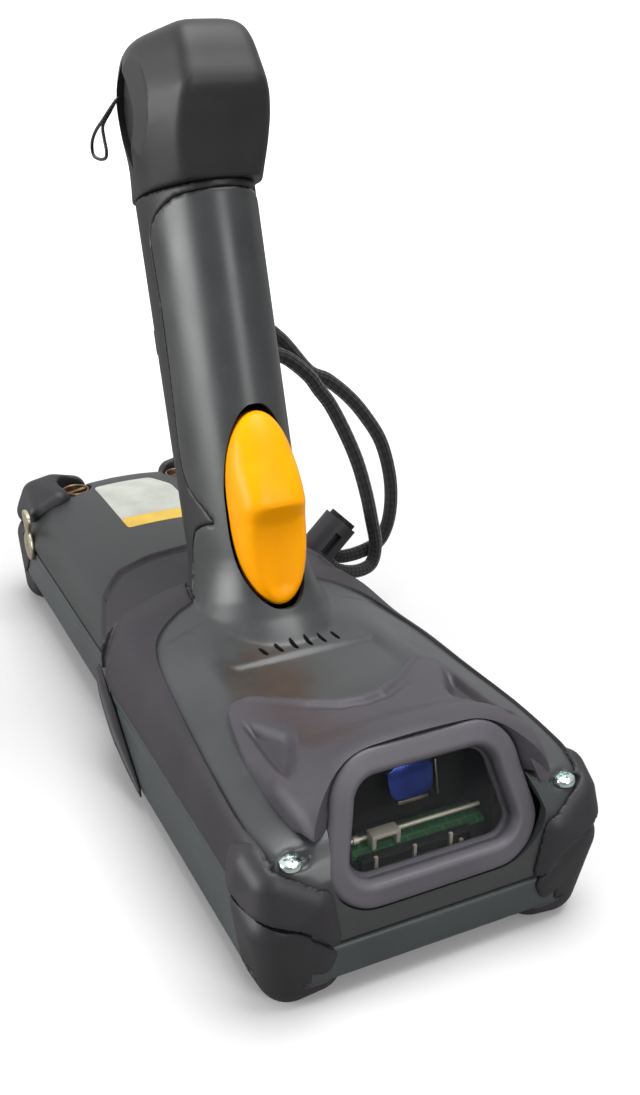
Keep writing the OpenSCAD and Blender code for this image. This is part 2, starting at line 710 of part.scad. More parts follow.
module rear_boot_lower() {
    intersection() {
        difference() {
            union() {
                hull() {
                    ball([rear_half_w - 6, end_y - 4, seam_z - 2], 6.8);
                    ball([rear_half_w - 4.5, end_y - 15, seam_z - 3], 5);
                    ball([rear_half_w - 6.5, end_y - 7, 6], 6.5);
                    ball([rear_half_w - 6, end_y - 13, 8], 5.5);
                }
                hull() {
                    ball([rear_half_w - 6, end_y - 4, seam_z - 2], 6.8);
                    ball([rear_half_w - 6.5, end_y - 7, 6], 6.5);
                    ball([rear_half_w - 15, end_y - 3, seam_z - 5], 6);
                    ball([rear_half_w - 13, end_y - 6, 11], 6);
                }
            }
            rear_body_cut(gap);
        }
        below(seam_z + 3.5);
        above(0);
    }
}
module rear_body_cut(grow) {
    back_body(rear_rows, grow, seam_z);
    difference() {
        head_prism(-grow, keypad_z - grow, seam_z + 1);
        before(waist_y);
    }
}
module rear_boots_upper() {
    color("#232225") both_sides() rear_boot_upper();
}
module rear_boots_lower() {
    color("#1f1e21") both_sides() rear_boot_lower();
}

// ---------- inside the head ----------

board_w = 2 * (rear_half_w - wall - 0.4);
board_y0 = nose_y + 17;
board_y1 = end_y - 11.5;
module main_board() {
    color("#1f5a35") difference() {
        translate([0, (board_y0 + board_y1) / 2, board_z]) block(board_w, board_y1 - board_y0, board_t, 4);
        both_sides() translate([coin_x, coin_y, 0]) cylinder(r = boss_r + 1, h = big);
    }
}
module display_module() {
    color("#9a9c9e") translate([0, panel_y, display_z + wall + gap]) cube_at(panel_w + 2, panel_l + 4, module_t);
}
module cube_at(w, l, h) {
    translate([-w / 2, -l / 2, 0]) cube([w, l, h]);
}
module touch_panel() {
    color("#101418") translate([0, panel_y, display_z + wall - panel_t])
        block(panel_w - 0.3, panel_l - 0.3, panel_t, 2.8);
}
module keypad_mat() {
    color("#55585c") difference() {
        translate([0, keypad_y, keypad_z + wall + gap])
            block(keypad_w + 4, keypad_l + 4, mat_z + mat_t - keypad_z - wall - gap, 3);
        translate([0, keypad_y, 0]) block(keypad_w, keypad_l, mat_z, 2);
    }
}
module key(row, col) {
    at = key_at(row, col);
    digit_key = row < key_rows && col < key_columns;
    color(digit_key ? "#e4e2da" : "#5b6066") translate(at) {
        translate([0, 0, keypad_z - 1.2]) block(key_w - 2 * free, key_l - 2 * free, 1.2 + wall + gap, 1.7);
        translate([0, 0, keypad_z + wall + gap]) block(key_w + flange, key_l + flange, flange, 2);
    }
}
module power_button() {
    color("#a23a2e") translate([power_x, power_y, 0]) {
        translate([0, 0, keypad_z - 0.9]) cylinder(r = power_r, h = 0.9 + wall + gap);
        translate([0, 0, keypad_z + wall + gap]) cylinder(r = power_r + 1, h = 0.9);
    }
}
speaker_r = 9;
speaker_h = 5;
speaker_x = front_half_w - 22;
speaker_y = nose_y + 46;
module speaker() {
    color("#2c2c2e") translate([speaker_x, speaker_y, board_z + board_t + gap]) {
        cylinder(r = speaker_r, h = speaker_h);
        cylinder(r = speaker_r + 1.5, h = 0.3 * speaker_h);
    }
}
module dock_contacts() {
    color("#c9a24a") {
        translate([0, end_y - 1, dock_z]) rotate([90, 0, 0]) cube_centered(dock_w - 2 * gap, dock_h - 2 * gap, wall);
        for (i = [-4 : 4]) translate([i * 3, end_y - wall / 2 + 0.4, dock_z]) cube([1.4, 2, 3.4], center = true);
    }
}
module cube_centered(w, l, h) {
    translate([-w / 2, -l / 2, -h / 2]) cube([w, l, h]);
}

engine_l = 16;               // front to rear
engine_w = 2 * window_half_w - 1;
engine_y = nose_y + engine_l; // middle of the scan engine
engine_z = board_z + board_t + gap;
deck_z = window_z - 11;      // the engine's board lies under the sight line
module scan_engine() {
    color("#8e8a80") difference() {
        union() {
            translate([0, engine_y, engine_z]) cube_at(engine_w, engine_l, deck_z - engine_z);
            translate([0, engine_y + engine_l / 2 - 3, deck_z]) cube_at(engine_w, 6, 14.5);
            both_sides() translate([engine_w / 2 - 1, engine_y + 1.5, engine_z]) cube_at(2, engine_l - 3, 21);
            translate([0, engine_y - 3, deck_z + 3]) rotate([0, 90, 0])
                cylinder(r = 0.8, h = engine_w - 2, center = true);
        }
        translate([0, engine_y, engine_z + 2]) cube_at(engine_w - 8, engine_l - 4, deck_z - engine_z - 4);
    }
}
module scan_mirror() {
    color("#27408f") translate([0, engine_y - 0.6, deck_z + 11]) rotate([-15, 0, 0]) cube_centered(12, 1, 6.5);
    color("#27408f") translate([0, engine_y + 0.7, deck_z + 11]) rotate([90, 0, 0]) cylinder(r = 1.5, h = 2.4, center = true);
}
module engine_board() {
    color("#2d6b3c") translate([0, engine_y - 1.3, deck_z + gap]) cube_at(engine_w - 4.5, 6, 1.2);
    color("#111111") translate([-3, engine_y - 6.2, deck_z + gap]) cube_at(25, 3, 3.4);
}

// ---------- grip ----------

module grip_rear_shell() {
    color("#2a292b") difference() {
        intersection() {
            in_grip() difference() {
                grip_body(-0.15);
                skin_region(-gap);
            }
            above(seam_z + 8);
        }
        in_grip() grip_body(-grip_wall, grip_l + through);
        in_grip() trigger_opening();
        back_body(front_rows, gap, -through);
        difference() {
            back_body(rear_rows, -wall, -through);
            above(rear_z - wall - 4);
        }
    }
}

module trigger() {
    color("#f7b018") in_grip() difference() {
        union() {
            trigger_shape(0, front_t + trigger_depth);
            translate([0, pin_t, pin_s]) rotate([0, 90, 0])
                cylinder(r = lug_r, h = 2 * lug_half_w, center = true);
            translate([-lug_half_w, front_t + trigger_depth - 1, pin_s - lug_r + 0.6])
                cube([2 * lug_half_w, lug_r + 2, 2 * lug_r - 1.2]);
        }
        translate([0, pin_t, pin_s]) rotate([0, 90, 0])
            cylinder(r = pin_r + pin_gap, h = 4 * lug_half_w, center = true);
        // the spring's pocket
        translate([0, front_t + trigger_depth - 2.5, nose_s + 4]) rotate([-90, 0, 0])
            cylinder(r = spring_r + spring_wire + 0.5, h = 10);
    }
}
module trigger_pin() {
    color("#b9bcc0") in_grip() translate([0, pin_t, pin_s]) rotate([0, 90, 0])
        cylinder(r = pin_r, h = 2 * (lug_half_w + free + ear_t), center = true);
}
bracket_t = pin_t + lug_r + 1.5;
bracket_s1 = nose_s + 16;
spring_r = 2.6;
spring_wire = 0.5;
spring_l = bracket_t - (front_t + trigger_depth - 2.5);
module trigger_bracket() {
    color("#4a4c50") in_grip() {
        difference() {
            union() {
                translate([-trigger_half_w, bracket_t + gap, pin_s - 6])
                    cube([2 * trigger_half_w, 2.5, bracket_s1 - pin_s + 6]);
                both_sides() translate([lug_half_w + free, pin_t - lug_r, pin_s - lug_r])
                    cube([ear_t, bracket_t - pin_t + lug_r + through, 2 * lug_r]);
            }
            translate([0, pin_t, pin_s]) rotate([0, 90, 0]) cylinder(r = pin_r + gap, h = 40, center = true);
        }
        both_sides() translate([trigger_half_w - 2, bracket_t + 2.5, nose_s]) rotate([-90, 0, 0])
            cylinder(r = 2, h = 10);
    }
}
spring_turns = 4;
turn_steps = 12;             // points on one turn
module trigger_spring() {
    rise = (spring_l - 2 * spring_wire) / (spring_turns * turn_steps);
    coil = [for (i = [0 : spring_turns * turn_steps]) [spring_r * cos(i * 360 / turn_steps),
        spring_r * sin(i * 360 / turn_steps), spring_wire + i * rise]];
    color("#c9ccd0") in_grip() translate([0, bracket_t - spring_l, nose_s + 4]) rotate([-90, 0, 0])
        tube(coil, spring_wire, 8);
}
module trigger_switch() {
    color("#1b1b1d") in_grip() {
        translate([0, bracket_t - 1.9, nose_s - 10]) rotate([90, 0, 0]) cube_centered(6, 12, 3.8);
        translate([0, bracket_t - 4.3, nose_s - 8]) rotate([90, 0, 0]) cube_centered(1.6, 2.5, 1);
    }
}

// ---------- battery ----------

cell_t = cell_r + 0.3;       // half the distance between the cells
cell_s0 = grip_l + foot_h - 8 - cell_l;
case_r = cell_r + 0.15 + case_t;
case_s0 = cell_s0 - 3;
module stick(r, s0, s1) {
    translate([0, 0, s0]) {
        both_ends() translate([0, cell_t, 0]) cylinder(r = r, h = s1 - s0);
        translate([-r, -cell_t, 0]) cube([2 * r, 2 * cell_t, s1 - s0]);
    }
}
module both_ends() {
    children();
    mirror([0, 1, 0]) children();
}
module battery_cells() {
    color("#3f6ea5") in_grip() both_ends() translate([0, cell_t, cell_s0]) cylinder(r = cell_r, h = cell_l);
}
module battery_case() {
    color("#202124") in_grip() difference() {
        stick(case_r, case_s0, cell_s0 + cell_l + 1.2);
        both_ends() translate([0, cell_t, cell_s0 - gap]) cylinder(r = cell_r + 0.12, h = cell_l + 2 * gap);
    }
}
foot_s0 = grip_l + 0.5;
foot_top = grip_l + foot_h;
foot_back = 24.5;
// Each row: s, reach to the front, half width of the front flat, half width, reach to the rear, taper to the rear
foot_rows = [
    [foot_s0, grip_ry + 0.8, 6, grip_rx + 0.6, grip_ry + 0.6, 0],
    [foot_s0 + 2, grip_ry + 2, 7, grip_rx + 1.4, grip_ry + 1, 0.4],
    [foot_s0 + 9, grip_ry + 6, 9.5, grip_rx + 2.4, foot_back, 1.6],
    [foot_top - 22, foot_reach - 2.2, 11, grip_rx + 2.8, foot_back, 2],
    [foot_top - 17, foot_reach, 11, grip_rx + 2.8, foot_back, 2],
    [foot_top - 13, foot_reach - 0.8, 10.8, grip_rx + 2.4, foot_back, 2],
    [foot_top - 3, foot_reach - 3.6, 10, grip_rx + 0.6, foot_back - 1, 2],
    [foot_top - 0.8, foot_reach - 4.6, 9, grip_rx - 0.6, foot_back - 2, 2],
    [foot_top, foot_reach - 6.5, 7.5, grip_rx - 2.2, foot_back - 4, 2]];
foot_r = 4;                  // radius of the foot's upright edges
module foot_slice(row, d) {
    taper = row[5];
    corners = [[row[2], foot_r - row[1]], [row[3] - foot_r, -0.35 * row[1]], [row[3] - foot_r - taper, 0],
        [0.6 * row[3] - 0.5 - 1.8 * taper, 0.68 * row[4] - 1 - taper], [0, row[4] - foot_r]];
    for (p = corners) both_sides() translate([p.x, p.y, row[0]])
        cylinder(r = foot_r - d, h = sliver, $fn = 16);
}
module foot_body(d) {
    for (i = [0 : len(foot_rows) - 2]) hull() {
        foot_slice(foot_rows[i], d);
        foot_slice(foot_rows[i + 1], d);
    }
}
latch_s = foot_top - 17;     // middle of the leaf-shaped release
latch_t = -5;
latch_lean = 8;
latch_depth = 4;
function leaf(w, l) = concat([for (i = [0 : 8]) [w / 2 * sin(i * 22.5), mix(-l / 2, l / 2, i / 8)]],
    [for (i = [7 : -1 : 1]) [-w / 2 * sin(i * 22.5), mix(-l / 2, l / 2, i / 8)]]);
module latch_leaf(w, l, x0, x1) {
    translate([0, latch_t, latch_s]) rotate([latch_lean, 0, 0]) rotate([90, 0, 90])
        translate([0, 0, x0]) linear_extrude(x1 - x0) polygon(leaf(w, l));
}
latch_w = 12;
latch_l = 26;
latch_face = grip_rx + 0.4;
module battery_foot() {
    color("#29282a") in_grip() difference() {
        foot_body(0);
        stick(case_r + 0.12, foot_s0 - through, cell_s0 + cell_l + 1.2 + gap);
        both_sides() latch_leaf(latch_w + 2 * free, latch_l + 2 * free, latch_face - latch_depth, big);
        translate([tether_at.x, tether_at.y, tether_at[2]]) rotate([0, 90, 0])
            cylinder(r = 1.5 * tether_d, h = 8, center = true, $fn = 16);
    }
}
module battery_latch(side) {
    color("#1d1c1e") in_grip() mirror([side < 0 ? 1 : 0, 0, 0])
        latch_leaf(latch_w, latch_l, latch_face - 2, latch_face);
}
module battery_contacts() {
    color("#30343a") in_grip() {
        difference() {
            stick(case_r, case_s0 - 5, case_s0 - 0.3);
            translate([0, 0, case_s0 - 8]) cube_at(8, 20, 5);
        }
    }
}

// ---------- fasteners, label, clip ----------

module housing_screws() {
    color("#c3cccb") both_sides() translate([screw_x, screw_y, 0]) difference() {
        union() {
            translate([0, 0, screw_z + gap]) cylinder(r = screw_head_r, h = 1.8);
            translate([0, 0, display_z + wall + 1]) cylinder(r = screw_r, h = screw_z - display_z - wall);
        }
        translate([0, 0, screw_z + 1]) cylinder(r = 1.3, h = 2, $fn = 6);
    }
}
module coin_screw(side) {
    color("#8a7361") translate([side * coin_x, coin_y, 0]) difference() {
        union() {
            translate([0, 0, coin_seat_z + gap]) cylinder(r = coin_r, h = 3.2);
            translate([0, 0, keypad_z + wall + 3]) cylinder(r = coin_shank_r, h = coin_seat_z - keypad_z - wall - 2);
        }
        rotate([0, 0, 20]) translate([-big / 2, -0.7, coin_seat_z + 2]) cube([big, 1.4, 2]);
    }
}
label_x = -0.5;
label_y = 86;
label_w = 25;
label_l = 43;
module label_shape(d, h) {
    w = label_w / 2 + d;
    l = label_l / 2 + d;
    linear_extrude(h) polygon([[-w, -l], [w, -l], [w, l - 7], [w - 7, l], [-w, l]]);
}
module rating_label() {
    color("#f1f1ee") translate([label_x, label_y, rear_z - 1.3 + gap]) label_shape(0, 0.4);
}
module strap_clip() {
    color("#c9c0ab") translate([-rear_half_w - 0.1, end_y - 22, seam_z + 3]) {
        translate([-1.4, -3.5, -6]) cube([1.4, 7, 12]);
        translate([-1.4, -3.5, 6]) rotate([0, 20, 0]) cube([1.4, 7, 5]);
    }
}

// ---------- lanyard ----------

anchor_s = 121;              // along the grip
anchor_w = 15;
anchor_l = 7;
anchor_bar = 2.4;            // thickness of the bar behind the cord
cord_play = 0.4;             // room for the cord under the bar
module lanyard_anchor() {
    bar_t = grip_ry + gap + cord_d + cord_play;
    color("#232326") in_grip() difference() {
        translate([-anchor_w / 2, 0, anchor_s - anchor_l / 2]) cube([anchor_w, bar_t + anchor_bar, anchor_l]);
        translate([0, 0, anchor_s - anchor_l]) oval_column(grip_rx + gap, grip_ry + gap, 2 * anchor_l);
        translate([0, bar_t / 2, anchor_s]) cube([cord_d + 3.5, bar_t, 2 * anchor_l], center = true);
    }
}

// smooth curve through hand-chosen points
function spline(a, b, c, d, t) =
    0.5 * ((2 * b) + (c - a) * t + (2 * a - 5 * b + 4 * c - d) * t * t + (3 * b - a - 3 * c + d) * t * t * t);
function smooth(points, n) = concat([for (i = [0 : len(points) - 2], k = [0 : n - 1])
    spline(points[max(i - 1, 0)], points[i], points[i + 1], points[min(i + 2, len(points) - 1)], k / n)],
    [points[len(points) - 1]]);
function unit(v) = v / norm(v);
function heading(path, i) = unit(path[min(i + 1, len(path) - 1)] - path[max(i - 1, 0)]);
function frames(path, i, side) = let (h = heading(path, i), u = unit(side - (side * h) * h))
    i == len(path) - 1 ? [[u, cross(h, u)]] : concat([[u, cross(h, u)]], frames(path, i + 1, u));
module tube(path, r, sides) {
    axes = frames(path, 0, [0.1, 0.2, 1]);
    points = [for (i = [0 : len(path) - 1], k = [0 : sides - 1])
        path[i] + r * (cos(k * 360 / sides) * axes[i][0] + sin(k * 360 / sides) * axes[i][1])];
    last = len(path) - 1;
    faces = concat([[for (k = [0 : sides - 1]) k]],
        [for (i = [0 : last - 1], k = [0 : sides - 1])
            [i * sides + k, (i + 1) * sides + k, (i + 1) * sides + (k + 1) % sides, i * sides + (k + 1) % sides]],
        [[for (k = [sides - 1 : -1 : 0]) last * sides + k]]);
    polyhedron(points, faces, convexity = 10);
}
// The wrist cord runs from the lock up behind the grip, round its anchor and back
cord_route = [[45.5, 37.5, 28], [48.5, 37.5, 23.5], [53.5, 37.5, 21], [59.5, 38.5, 20], [64, 39.5, 21.5],
    [65.5, 40, 28], [64, 40, 36], [61.5, 40, 47], [58, 40, 58.5], [53.5, 40, 69], [48, 40, 79.5], [44, 40, 85],
    [39.5, 40, 91], [30.5, 39.5, 98], [20, 37.5, 99.5], [9, 36, 98.5], [2.5, 37, 101], [0, 39, 107],
    [2.5, 41, 113], [9, 42, 115.5], [21, 42.5, 110.5], [32, 43, 102], [42.5, 45, 90], [49.5, 45.5, 86],
    [57.5, 45.5, 79], [64, 45.5, 71], [69.5, 45.5, 62], [73, 45.5, 50.5], [74, 45.5, 40.5], [73, 45.5, 32],
    [70, 45.5, 26], [64.5, 44, 24.5], [57.5, 43, 24], [52, 42.5, 25], [47.5, 42.5, 29.5]];
module lanyard_cord() {
    color("#17171a") tube(smooth(cord_route, 2), cord_d / 2, 10);
}
lock_at = [46.6, 40, 33.1];
lock_lean = 45;              // the lock leans on the rear cover
lock_bore = 4;               // depth of the button's bore
lock_wall = 0.95;
lock_travel = 1.3;
button_out = 1.5;            // how far the button stands out of the lock
module in_lock() {
    translate(lock_at) rotate([0, lock_lean, 0]) children();
}
module cord_lock() {
    color("#1b1b1d") in_lock() difference() {
        cylinder(r = lock_r, h = lock_l, center = true);
        translate([0, 0, lock_l / 2 - lock_bore]) cylinder(r = lock_r - lock_wall, h = big);
        translate([-1, -lock_r, 0]) cube([2.6, 4, 8], center = true);
    }
}
module cord_lock_button() {
    color("#101012") in_lock() translate([0, 0, lock_l / 2 - lock_bore + lock_travel + free])
        cylinder(r = lock_r - lock_wall - free, h = lock_bore - lock_travel - free + button_out);
}

// A thin loop with both ends in a hole of the foot's left flank; its points are in the grip's frame
tether_at = [-(grip_rx + 0.6), 1.5, foot_top - 11];
tether_route = [[1, -0.6, 0], [-1.5, -2, -1], [-4, -2.5, -3.5], [-5.5, -0.5, -5.5], [-6, 6.5, -7],
    [-6, 11.5, -9], [-6, 12, -12], [-6, 7.5, -14], [-6, 1.5, -15], [-6, -0.5, -13.5], [-5.5, 1.5, -10],
    [-5, 2.5, -6.5], [-3, 1.5, -3.5], [-1, 0.8, -0.8], [1, 0.6, 0]];
module tether_loop() {
    color("#17171a") in_grip() translate(tether_at) tube(smooth(tether_route, 3), tether_d / 2, 8);
}

display_housing();
back_housing();
rear_cover();
housing_seal();
rubber_collar();
scan_hood();
window_bezel();
exit_window();
front_boots_upper();
front_boots_lower();
rear_boots_upper();
rear_boots_lower();
scan_engine();
scan_mirror();
engine_board();
main_board();
display_module();
touch_panel();
keypad_mat();
speaker();
dock_contacts();
power_button();
grip_rear_shell();
trigger();
trigger_pin();
trigger_spring();
trigger_bracket();
trigger_switch();
battery_case();
battery_cells();
battery_foot();
battery_latch(-1);  // battery_latch_left
battery_latch(1);  // battery_latch_right
battery_contacts();
housing_screws();
coin_screw(-1);  // coin_screw_left
coin_screw(1);  // coin_screw_right
rating_label();
strap_clip();
lanyard_anchor();
lanyard_cord();
cord_lock();
cord_lock_button();
tether_loop();
for (row = [1 : key_rows], col = [1 : key_columns])
    key(row, col);
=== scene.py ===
# %% [markdown]
# # A portable barcode data terminal, lying face down with its grip in the air
#
# The terminal is a flat head that holds the display and the keypad, and a pistol grip that
# stands out of the head's back. Here it lies on its display, so the scan window looks at the
# viewer and the grip's foot, which belongs to the battery, is the highest point.
#
# The engineering model is loaded first. It stays as it is, and every piece that is built below
# is put round it, in the same place and at the same size.

# %% Load the engineering model
import math

import bpy
from mathutils import Matrix, Vector


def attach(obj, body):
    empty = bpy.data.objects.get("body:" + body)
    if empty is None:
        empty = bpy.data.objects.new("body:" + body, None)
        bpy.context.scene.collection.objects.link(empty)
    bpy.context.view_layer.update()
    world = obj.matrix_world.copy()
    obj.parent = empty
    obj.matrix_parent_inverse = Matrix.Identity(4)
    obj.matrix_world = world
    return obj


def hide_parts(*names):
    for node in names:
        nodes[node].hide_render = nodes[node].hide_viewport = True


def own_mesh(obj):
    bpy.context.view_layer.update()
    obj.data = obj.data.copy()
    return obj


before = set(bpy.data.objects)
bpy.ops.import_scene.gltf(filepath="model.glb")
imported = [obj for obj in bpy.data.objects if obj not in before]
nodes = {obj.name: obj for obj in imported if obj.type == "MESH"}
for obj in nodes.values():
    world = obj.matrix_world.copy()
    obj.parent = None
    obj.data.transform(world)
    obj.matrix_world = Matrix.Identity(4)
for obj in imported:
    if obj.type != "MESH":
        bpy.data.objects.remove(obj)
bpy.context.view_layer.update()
mm = 0.001

# %% [markdown]
# ## The camera
#
# A camera is a place, a point to look at and a focal length. It could be turned with a Track To
# constraint, but a matrix says the same without a helper object, and it also takes the small
# roll of a camera that is held by hand. The back of a Blender camera points along its own +Z.

# %% Camera
eye = Vector((-121.6825, -300.5410, 208.2939)) * mm
target = Vector((14.0894, -22.5669, 63.2416)) * mm
roll = 0.0069207
focal_pixels, picture_height = 1267.312, 1095

ahead = (target - eye).normalized()
level_right = ahead.cross(Vector((0, 0, 1))).normalized()
level_up = level_right.cross(ahead)
right = math.cos(roll) * level_right + math.sin(roll) * level_up
up = math.cos(roll) * level_up - math.sin(roll) * level_right
camera_data = bpy.data.cameras.new("studio_camera")
camera_data.sensor_fit = "AUTO"
camera_data.sensor_width = 36
camera_data.lens = focal_pixels / picture_height * camera_data.sensor_width
camera_data.clip_start, camera_data.clip_end = 0.01, 20
camera = bpy.data.objects.new("studio_camera", camera_data)
bpy.context.scene.collection.objects.link(camera)
camera.matrix_world = Matrix.Translation(eye) @ Matrix((right, up, -ahead)).transposed().to_4x4()
bpy.context.scene.camera = camera
print("focal length", round(camera_data.lens, 2), "mm")

# %% [markdown]
# ## One way to write materials
#
# A material is a small graph of nodes. Colours are picked in sRGB, as on any screen, but a
# shader calculates with linear light, so one function turns one into the other. A second one
# adds a node, sets its sockets and links it. The last one links what a recipe has made to the
# surface, which all recipes end with.

# %% Helpers for materials
def linear(hex_colour, alpha=1.0):
    """A colour written as #rrggbb, as linear light."""
    values = [int(hex_colour[i:i + 2], 16) / 255 for i in (1, 3, 5)]
    return [v / 12.92 if v <= 0.04045 else ((v + 0.055) / 1.055) ** 2.4 for v in values] + [alpha]


def add(tree, kind, sockets=None, links=None, stops=(), **settings):
    """Adds one node: its options, the values and links of its sockets, and the stops of a colour ramp."""
    node = tree.nodes.new("ShaderNode" + kind)
    for name, value in settings.items():
        setattr(node, name, value)
    for name, value in (sockets or {}).items():
        node.inputs[name].default_value = value
    for name, source in (links or {}).items():
        tree.links.new(source, node.inputs[name])
    for i, (place, colour) in enumerate(stops):
        node.color_ramp.elements[i].position = place
        node.color_ramp.elements[i].color = linear(colour)
    return node


def new_material(name, **surface):
    """A material with one Principled surface, whose even values stand on its own sockets."""
    material = bpy.data.materials.new(name)
    material.use_nodes = True
    tree = material.node_tree
    shader = tree.nodes["Principled BSDF"]
    for socket, value in surface.items():
        shader.inputs[socket.replace("_", " ")].default_value = value
    return material, tree, shader, add(tree, "TexCoord").outputs["Object"]


def wire(tree, shader, colour, height=None, depth_mm=0.0, roughness=None):
    """Links colour and roughness to the surface, and a height through a bump of that depth."""
    tree.links.new(colour, shader.inputs["Base Color"])
    if roughness:
        tree.links.new(roughness, shader.inputs["Roughness"])
    if height:
        relief = add(tree, "Bump", {"Strength": 1, "Distance": depth_mm * mm}, {"Height": height})
        tree.links.new(relief.outputs["Normal"], shader.inputs["Normal"])


print("helpers ready")

# %% [markdown]
# ## Moulded plastic and rubber
#
# Every housing of this terminal is injection moulded. The steel mould is etched, so the plastic
# comes out with a fine grain: tiny pits about a third of a millimetre apart. That grain is a
# bump here, because it is far too small to model. Handling polishes the high places, so a large,
# faint noise changes the roughness a little, and a second one the colour. Soft rubber has the
# same build-up with a duller, more even surface. One recipe with different numbers serves all of
# them, which also keeps the pieces of one family alike.

# %% Recipe for moulded surfaces
def moulded(name, base, worn, roughness, grain_mm, depth_mm, spread=0.06, dust=None, shine=0.5, **surface):
    """A moulded surface: base and worn colour, roughness, and its grain in millimetres."""
    material, tree, shader, place = new_material(name, Specular_IOR_Level=shine, **surface)
    patch_mm, dust_mm = 22, 2.5
    cloud = add(tree, "TexNoise", {"Scale": 1 / (patch_mm * mm), "Detail": 3, "Roughness": 0.55}, {"Vector": place})
    colour = add(tree, "ValToRGB", None, {"Fac": cloud.outputs["Fac"]}, [(0.32, base), (0.72, worn)])
    if dust:
        dots = add(tree, "TexNoise", {"Scale": 1 / (dust_mm * mm), "Detail": 2}, {"Vector": place})
        specks = add(tree, "ValToRGB", None, {"Fac": dots.outputs["Fac"]}, [(0.62, "#000000"), (0.8, "#616161")])
        colour = add(tree, "Mix", {7: linear(dust)}, {0: specks.outputs["Color"], 6: colour.outputs["Color"]},
                     data_type="RGBA")
    sheen = add(tree, "MapRange", {"From Min": 0.3, "From Max": 0.7, "To Min": roughness - spread,
                                   "To Max": roughness + spread}, {"Value": cloud.outputs["Fac"]})
    grain = add(tree, "TexNoise", {"Scale": 1 / (grain_mm * mm), "Detail": 2, "Roughness": 0.6}, {"Vector": place})
    wire(tree, shader, colour.outputs[2 if dust else "Color"], grain.outputs["Fac"], depth_mm,
         sheen.outputs["Result"])
    return material


print("recipe for moulded surfaces ready")

# %% Plastics and rubbers of the housing
# ABS from an etched mould: satin, so edges catch a soft light, with a little dust in the grain.
housing_grey = moulded("moulded_abs_charcoal", "#2f3132", "#383a3b", 0.36, 0.35, 0.012, dust="#55585a", shine=0.45)
tray_grey = moulded("moulded_abs_tray_grey", "#35393b", "#3f4446", 0.42, 0.4, 0.014, dust="#5b5f61", shine=0.4)
cover_grey = moulded("moulded_abs_cover", "#27292a", "#303233", 0.46, 0.4, 0.014, shine=0.4)
rear_shell_black = moulded("moulded_abs_grip_rear", "#1d1c1e", "#232225", 0.48, 0.5, 0.012, shine=0.4)
# Thermoplastic rubber: darker and duller than ABS, its highlights wide and weak.
collar_rubber = moulded("moulded_tpe_collar", "#232125", "#2d2a2f", 0.55, 0.5, 0.016, dust="#3f3c3f", shine=0.35)
hood_rubber = moulded("moulded_tpe_hood", "#353338", "#3f3c42", 0.5, 0.45, 0.016, dust="#57545a", shine=0.4)
boot_rubber = moulded("moulded_tpe_boot", "#201f22", "#29272b", 0.5, 0.5, 0.016, dust="#3b393b", shine=0.38)
# Silicone: an even, slightly milky grey round the glass.
bezel_rubber = moulded("moulded_silicone_bezel", "#4b494f", "#565359", 0.5, 0.5, 0.01, shine=0.4)
# The blacks: ABS that hands have worn, a matt seal, and polycarbonate that swallows light.
foot_black = moulded("moulded_abs_battery_foot", "#201f21", "#292729", 0.5, 0.5, 0.014, shine=0.4)
seal_black = moulded("moulded_silicone_seal", "#101011", "#151516", 0.7, 0.6, 0.01, shine=0.2)
inner_black = moulded("moulded_pc_inner_black", "#0c0c0d", "#121214", 0.6, 0.6, 0.01, shine=0.3)
# Dyed ABS with a fine grain: the colour stays full because the surface reflects little.
trigger_yellow = moulded("moulded_abs_trigger_yellow", "#f39a00", "#f7a400", 0.34, 0.4, 0.006, spread=0.03,
                         shine=0.14)
# The table side: silicone keys and mat, a red ABS button, and a bracket of acetal.
key_light = moulded("moulded_silicone_key_light", "#dcd9d0", "#e4e2da", 0.55, 0.5, 0.01)
key_grey = moulded("moulded_silicone_key_grey", "#50555b", "#5b6066", 0.55, 0.5, 0.01)
mat_silicone = moulded("moulded_silicone_mat", "#4a4d51", "#585b60", 0.65, 0.6, 0.01)
button_red = moulded("moulded_abs_button_red", "#94301f", "#a63a2c", 0.4, 0.4, 0.01)
bracket_grey = moulded("moulded_pom_bracket", "#424449", "#4e5055", 0.45, 0.5, 0.012)
print(len(bpy.data.materials), "materials so far")

# %% [markdown]
# ## Metal, glass and the rest
#
# The screws are chrome plated steel, turned and then polished, so their fine rings show as a
# little roughness. The coin fasteners are nickel bronze that pockets have rubbed dull. The window
# is tinted, coated glass. The circuit boards wear a green solder mask over fibreglass whose weave
# makes a very faint chequer.

# %% Recipe for metals
def metal(name, base, worn, roughness, stretch=(1, 1, 1), line_mm=0.3, depth_mm=0.004):
    """A metal whose scratches run along the axis with the smallest stretch."""
    material, tree, shader, place = new_material(name, Metallic=1.0)
    turned = add(tree, "Mapping", {"Scale": stretch}, {"Vector": place})
    lines = add(tree, "TexNoise", {"Scale": 1 / (line_mm * mm), "Detail": 3}, {"Vector": turned.outputs["Vector"]})
    patches = add(tree, "TexNoise", {"Scale": 1 / (3 * mm), "Detail": 2}, {"Vector": place})
    colour = add(tree, "ValToRGB", None, {"Fac": patches.outputs["Fac"]}, [(0.35, base), (0.7, worn)])
    dull = add(tree, "MapRange", {"From Min": 0.3, "From Max": 0.7, "To Min": roughness - 0.07,
                                  "To Max": roughness + 0.1}, {"Value": lines.outputs["Fac"]})
    wire(tree, shader, colour.outputs["Color"], lines.outputs["Fac"], depth_mm, dull.outputs["Result"])
    return material


# Chrome plate gives small bright glints, worn nickel bronze a brown gleam, zinc plate a pale beige.
screw_chrome = metal("chrome_plated_steel", "#bfd3d0", "#e4efec", 0.18)
coin_bronze = metal("nickel_bronze_worn", "#6f5a44", "#a48b6c", 0.38)
clip_beige = metal("zinc_plated_clip", "#a99f8a", "#d0c7b2", 0.36, stretch=(1, 1, 0.2))
steel_plain = metal("spring_steel", "#9a9da1", "#c3c6ca", 0.3)
